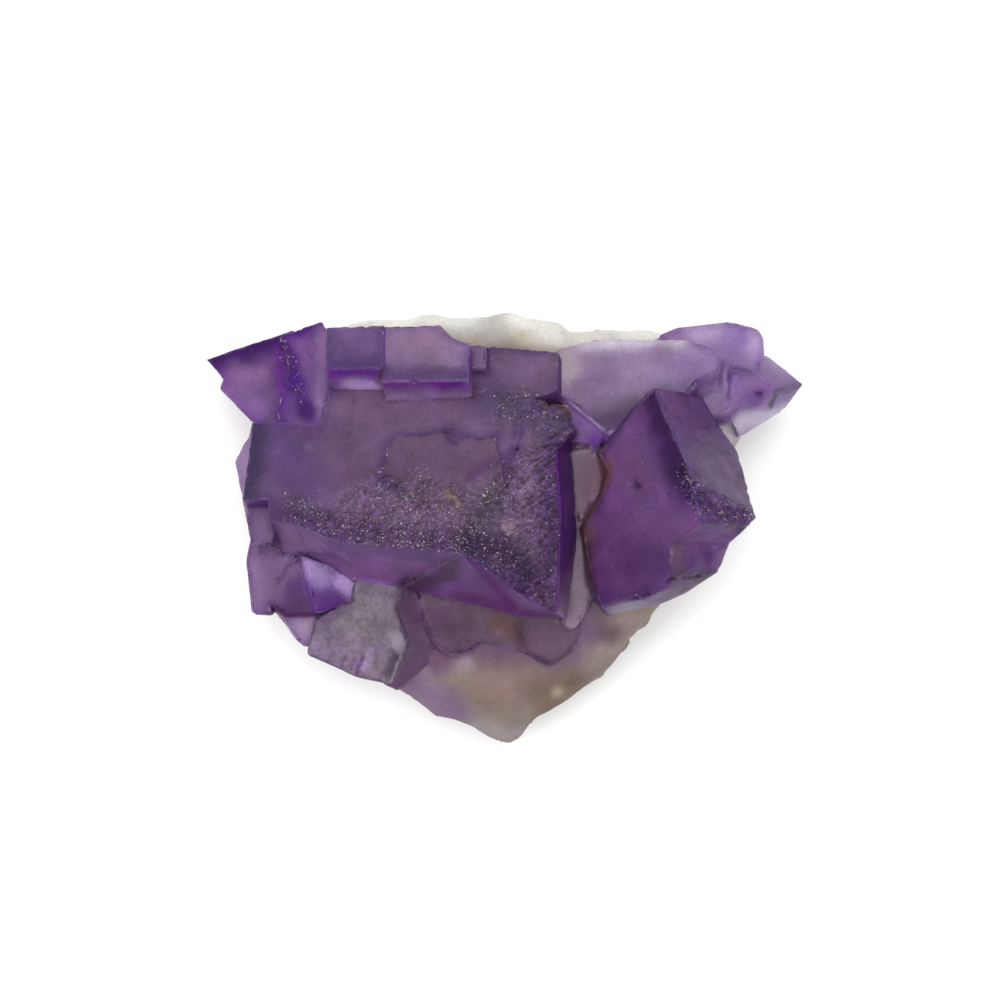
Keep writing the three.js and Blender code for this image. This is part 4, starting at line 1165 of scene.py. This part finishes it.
# The gloss, and the relief too fine for the mesh.
roughness = maths("ADD", mapped(noise(900.0, 3.0), 0.3, 0.7, -0.06, 0.08), rough_share)
fine = noise(4200.0, 3.0, 0.65)
coarse = noise(1300.0, 4.0, 0.6)
height = maths("ADD", maths("MULTIPLY", fine, by_share(etched_share, 0.22, 1.4)),
               maths("MULTIPLY", coarse, mapped(rough_share, 0.2, 0.9, 0.15, 1.2)))
relief_node = node(tree, "ShaderNodeBump", {"Height": height, "Strength": 0.8, "Distance": 0.00014})
skin = node(tree, "ShaderNodeBsdfPrincipled", {
    "Base Color": colour, "Roughness": roughness, "IOR": 1.434, "Normal": relief_node.outputs["Normal"],
    "Specular IOR Level": 0.2, "Transmission Weight": tone_node.outputs["Alpha"], "Subsurface Weight": 0.3,
    "Subsurface Radius": (1.0, 0.65, 1.0), "Subsurface Scale": 0.0006,
})
depth_tint = node(tree, "ShaderNodeVolumeAbsorption", {"Color": (0.5, 0.16, 0.8, 1.0), "Density": 180.0})
node(tree, "ShaderNodeOutputMaterial", {
    "Surface": skin.outputs["BSDF"], "Volume": depth_tint.outputs["Volume"]})

cluster = placed("fluorite_body", cluster_mesh)
cluster_mesh.materials.append(fluorite)
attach(cluster, "root")
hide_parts("fluorite_cluster")

# ---------------------------------------------------------------------------------------------------------
# The grit. Tiny late crystals and grains of dust sit half sunk in the etched face, in the chipped edge of
# the right-hand crystal and, few and far between, on the smooth faces. All are small cubes, pale or rusty.
# ---------------------------------------------------------------------------------------------------------
GRIT_COUNT = 2200
GRIT_SIZE = 0.019    # half the side of a middling cube
draw = np.random.default_rng(7)


def scattered_cubes(count):
    """Cubes at random places of the surface, each turned at random: a place is a random mix of the corners
    of a triangle drawn by area times its share of grit, and a turn is a random unit quaternion as a
    matrix."""
    corners = points[triangles]
    area = np.linalg.norm(np.cross(corners[:, 1] - corners[:, 0], corners[:, 2] - corners[:, 0]), axis=1)
    middle = corners.mean(axis=1)
    patch = haze(middle, 1.2, 95)
    lower = bump(distance_to([(-12.0, -0.2), (-5.0, -1.2), (-1.0, -3.0)], middle[:, :2]), 2.6)
    share = etched[triangles].mean(axis=1) * (0.15 + 1.6 * ramp(patch, 0.45, 0.75) + 0.9 * lower)
    share *= 1 - 0.75 * lined[triangles].mean(axis=1)
    share += 1.3 * chipped[triangles].mean(axis=1) + 0.0015 * (body != BODY["base"])
    share += 0.1 * bump(distance_to([(12.5, -6.9), (15.5, -5.9)], middle[:, :2]), 0.6)
    share += 1.4 * bump(distance_to([(-22.4, 18.6), (-21.3, 16.0), (-20.7, 13.4)], middle[:, :2]), 0.6)
    odds = area * share
    chosen = draw.choice(len(triangles), count, p=odds / odds.sum())
    mix = draw.dirichlet((1.0, 1.0, 1.0), count)
    place = (corners[chosen] * mix[:, :, None]).sum(axis=1)
    size = GRIT_SIZE * np.exp(0.6 * np.clip(draw.standard_normal(count), -1.5, 2.0))
    a, b, c, d = (lambda q: q / np.linalg.norm(q, axis=0))(draw.standard_normal((4, count)))
    turn = np.stack([
        1 - 2 * (c * c + d * d), 2 * (b * c - a * d), 2 * (b * d + a * c),
        2 * (b * c + a * d), 1 - 2 * (b * b + d * d), 2 * (c * d - a * b),
        2 * (b * d - a * c), 2 * (c * d + a * b), 1 - 2 * (b * b + c * c),
    ], axis=1).reshape(-1, 3, 3)
    cube = np.array([(i, j, k) for i in (-1, 1) for j in (-1, 1) for k in (-1, 1)], float)
    made = place[:, None] + np.einsum("nij,pj->npi", turn, cube) * size[:, None, None]
    faces = np.array([(0, 1, 3, 2), (4, 6, 7, 5), (0, 4, 5, 1), (2, 3, 7, 6), (0, 2, 6, 4), (1, 5, 7, 3)])
    halves = faces[:, [0, 1, 2, 0, 2, 3]].reshape(-1, 3)
    return made.reshape(-1, 3), (np.arange(count)[:, None, None] * 8 + halves).reshape(-1, 3)


grit_points, grit_triangles = scattered_cubes(GRIT_COUNT)
grit_points[:, 2] = np.maximum(grit_points[:, 2], 0.0)
grit_mesh = mesh_of("surface_grit", grit_points, grit_triangles)
GRIT_COLOURS = np.array([
    (0.46, 0.41, 0.40), (0.34, 0.30, 0.36), (0.42, 0.35, 0.20), (0.18, 0.13, 0.20), (0.62, 0.59, 0.58),
])
grit_kind = draw.choice(len(GRIT_COLOURS), GRIT_COUNT, p=(0.36, 0.24, 0.14, 0.12, 0.14))
CUBE_CORNERS = 36    # twelve triangles
grit_tone = np.column_stack([np.repeat(GRIT_COLOURS[grit_kind], CUBE_CORNERS, axis=0),
                             np.ones(GRIT_COUNT * CUBE_CORNERS)])
write_layer(grit_mesh, "tone", "FLOAT_COLOR", "CORNER", "color", grit_tone.astype(np.float32))
grit_mesh.update()

grit_finish = bpy.data.materials.new("grit")
grit_finish.use_nodes = True
grit_tree = grit_finish.node_tree
grit_skin = grit_tree.nodes["Principled BSDF"]
grit_tint = node(grit_tree, "ShaderNodeAttribute", attribute_name="tone")
grit_place = node(grit_tree, "ShaderNodeTexCoord")
grit_noise = node(grit_tree, "ShaderNodeTexNoise", {"Vector": grit_place.outputs["Object"], "Scale": 9000.0})
grit_shade = node(grit_tree, "ShaderNodeMapRange", {"Value": grit_noise.outputs["Fac"], "From Min": 0.3,
                                                    "From Max": 0.7, "To Min": 0.75, "To Max": 1.15})
grit_colour = node(grit_tree, "ShaderNodeVectorMath", {
    0: grit_tint.outputs["Color"], "Scale": grit_shade.outputs["Result"]}, operation="SCALE")
grit_tree.links.new(grit_colour.outputs["Vector"], grit_skin.inputs["Base Color"])
grit_skin.inputs["Roughness"].default_value = 0.3
grit_skin.inputs["IOR"].default_value = 1.45

grit = placed("surface_grit", grit_mesh)
grit_mesh.materials.append(grit_finish)
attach(grit, "root")

# ---------------------------------------------------------------------------------------------------------
# The studio: a near-white floor that gives off a little light so that its shadow stays faint, white light
# from all round, a wide soft lamp beyond the top edge, a weaker one from the left, and a long lens above.
# ---------------------------------------------------------------------------------------------------------
floor_mesh = bpy.data.meshes.new("floor")
floor_mesh.from_pydata([(-2, -2, 0), (2, -2, 0), (2, 2, 0), (-2, 2, 0)], [], [(0, 1, 2, 3)])
floor = placed("floor", floor_mesh)
paper = bpy.data.materials.new("paper")
paper.use_nodes = True
paper_skin = paper.node_tree.nodes["Principled BSDF"]
paper_skin.inputs["Base Color"].default_value = (0.93, 0.93, 0.93, 1.0)
paper_skin.inputs["Roughness"].default_value = 0.9
paper_skin.inputs["Emission Color"].default_value = (1.0, 1.0, 1.0, 1.0)
paper_skin.inputs["Emission Strength"].default_value = 0.08
floor_mesh.materials.append(paper)

world = bpy.data.worlds.new("white room")
bpy.context.scene.world = world
world.use_nodes = True
sky = world.node_tree.nodes["Background"]
sky.inputs["Color"].default_value = (1.0, 1.0, 1.0, 1.0)
lookup = node(world.node_tree, "ShaderNodeTexCoord").outputs["Generated"]
upward = node(world.node_tree, "ShaderNodeSeparateXYZ", {"Vector": lookup}).outputs["Z"]
brightness = node(world.node_tree, "ShaderNodeMapRange", {"Value": upward, "From Min": 0.0, "From Max": 1.0,
                                                          "To Min": 0.3, "To Max": 1.35}).outputs["Result"]
world.node_tree.links.new(brightness, sky.inputs["Strength"])


def softbox(name, place, aim, size, power):
    """A square lamp at a place, turned to face a point."""
    data = bpy.data.lights.new(name, "AREA")
    data.size, data.energy = size, power
    lamp = placed(name, data)
    lamp.location = place
    lamp.rotation_euler = (Vector(aim) - Vector(place)).to_track_quat("-Z", "Y").to_euler()


softbox("lamp_top", (0.05, 0.3, 0.9), (0, 0, 0.01), 0.6, 4.0)
softbox("lamp_left", (-0.45, -0.1, 0.8), (0, 0, 0.01), 0.5, 2.0)

camera_data = bpy.data.cameras.new("camera")
camera = placed("camera", camera_data)
CAMERA_HEIGHT = 1.2
SEEN_WIDTH = 0.1     # of the scene across the frame, at the height of the main face
FACE_LEVEL = 0.013
SENSOR_WIDTH = 36.0
camera_data.sensor_width = SENSOR_WIDTH
camera_data.lens = SENSOR_WIDTH * (CAMERA_HEIGHT - FACE_LEVEL) / SEEN_WIDTH
camera_data.clip_start, camera_data.clip_end = 0.01, 10.0
camera.location = (-0.0005, 0.0027, CAMERA_HEIGHT)
bpy.context.scene.camera = camera
bpy.context.scene.view_settings.view_transform = "Standard"
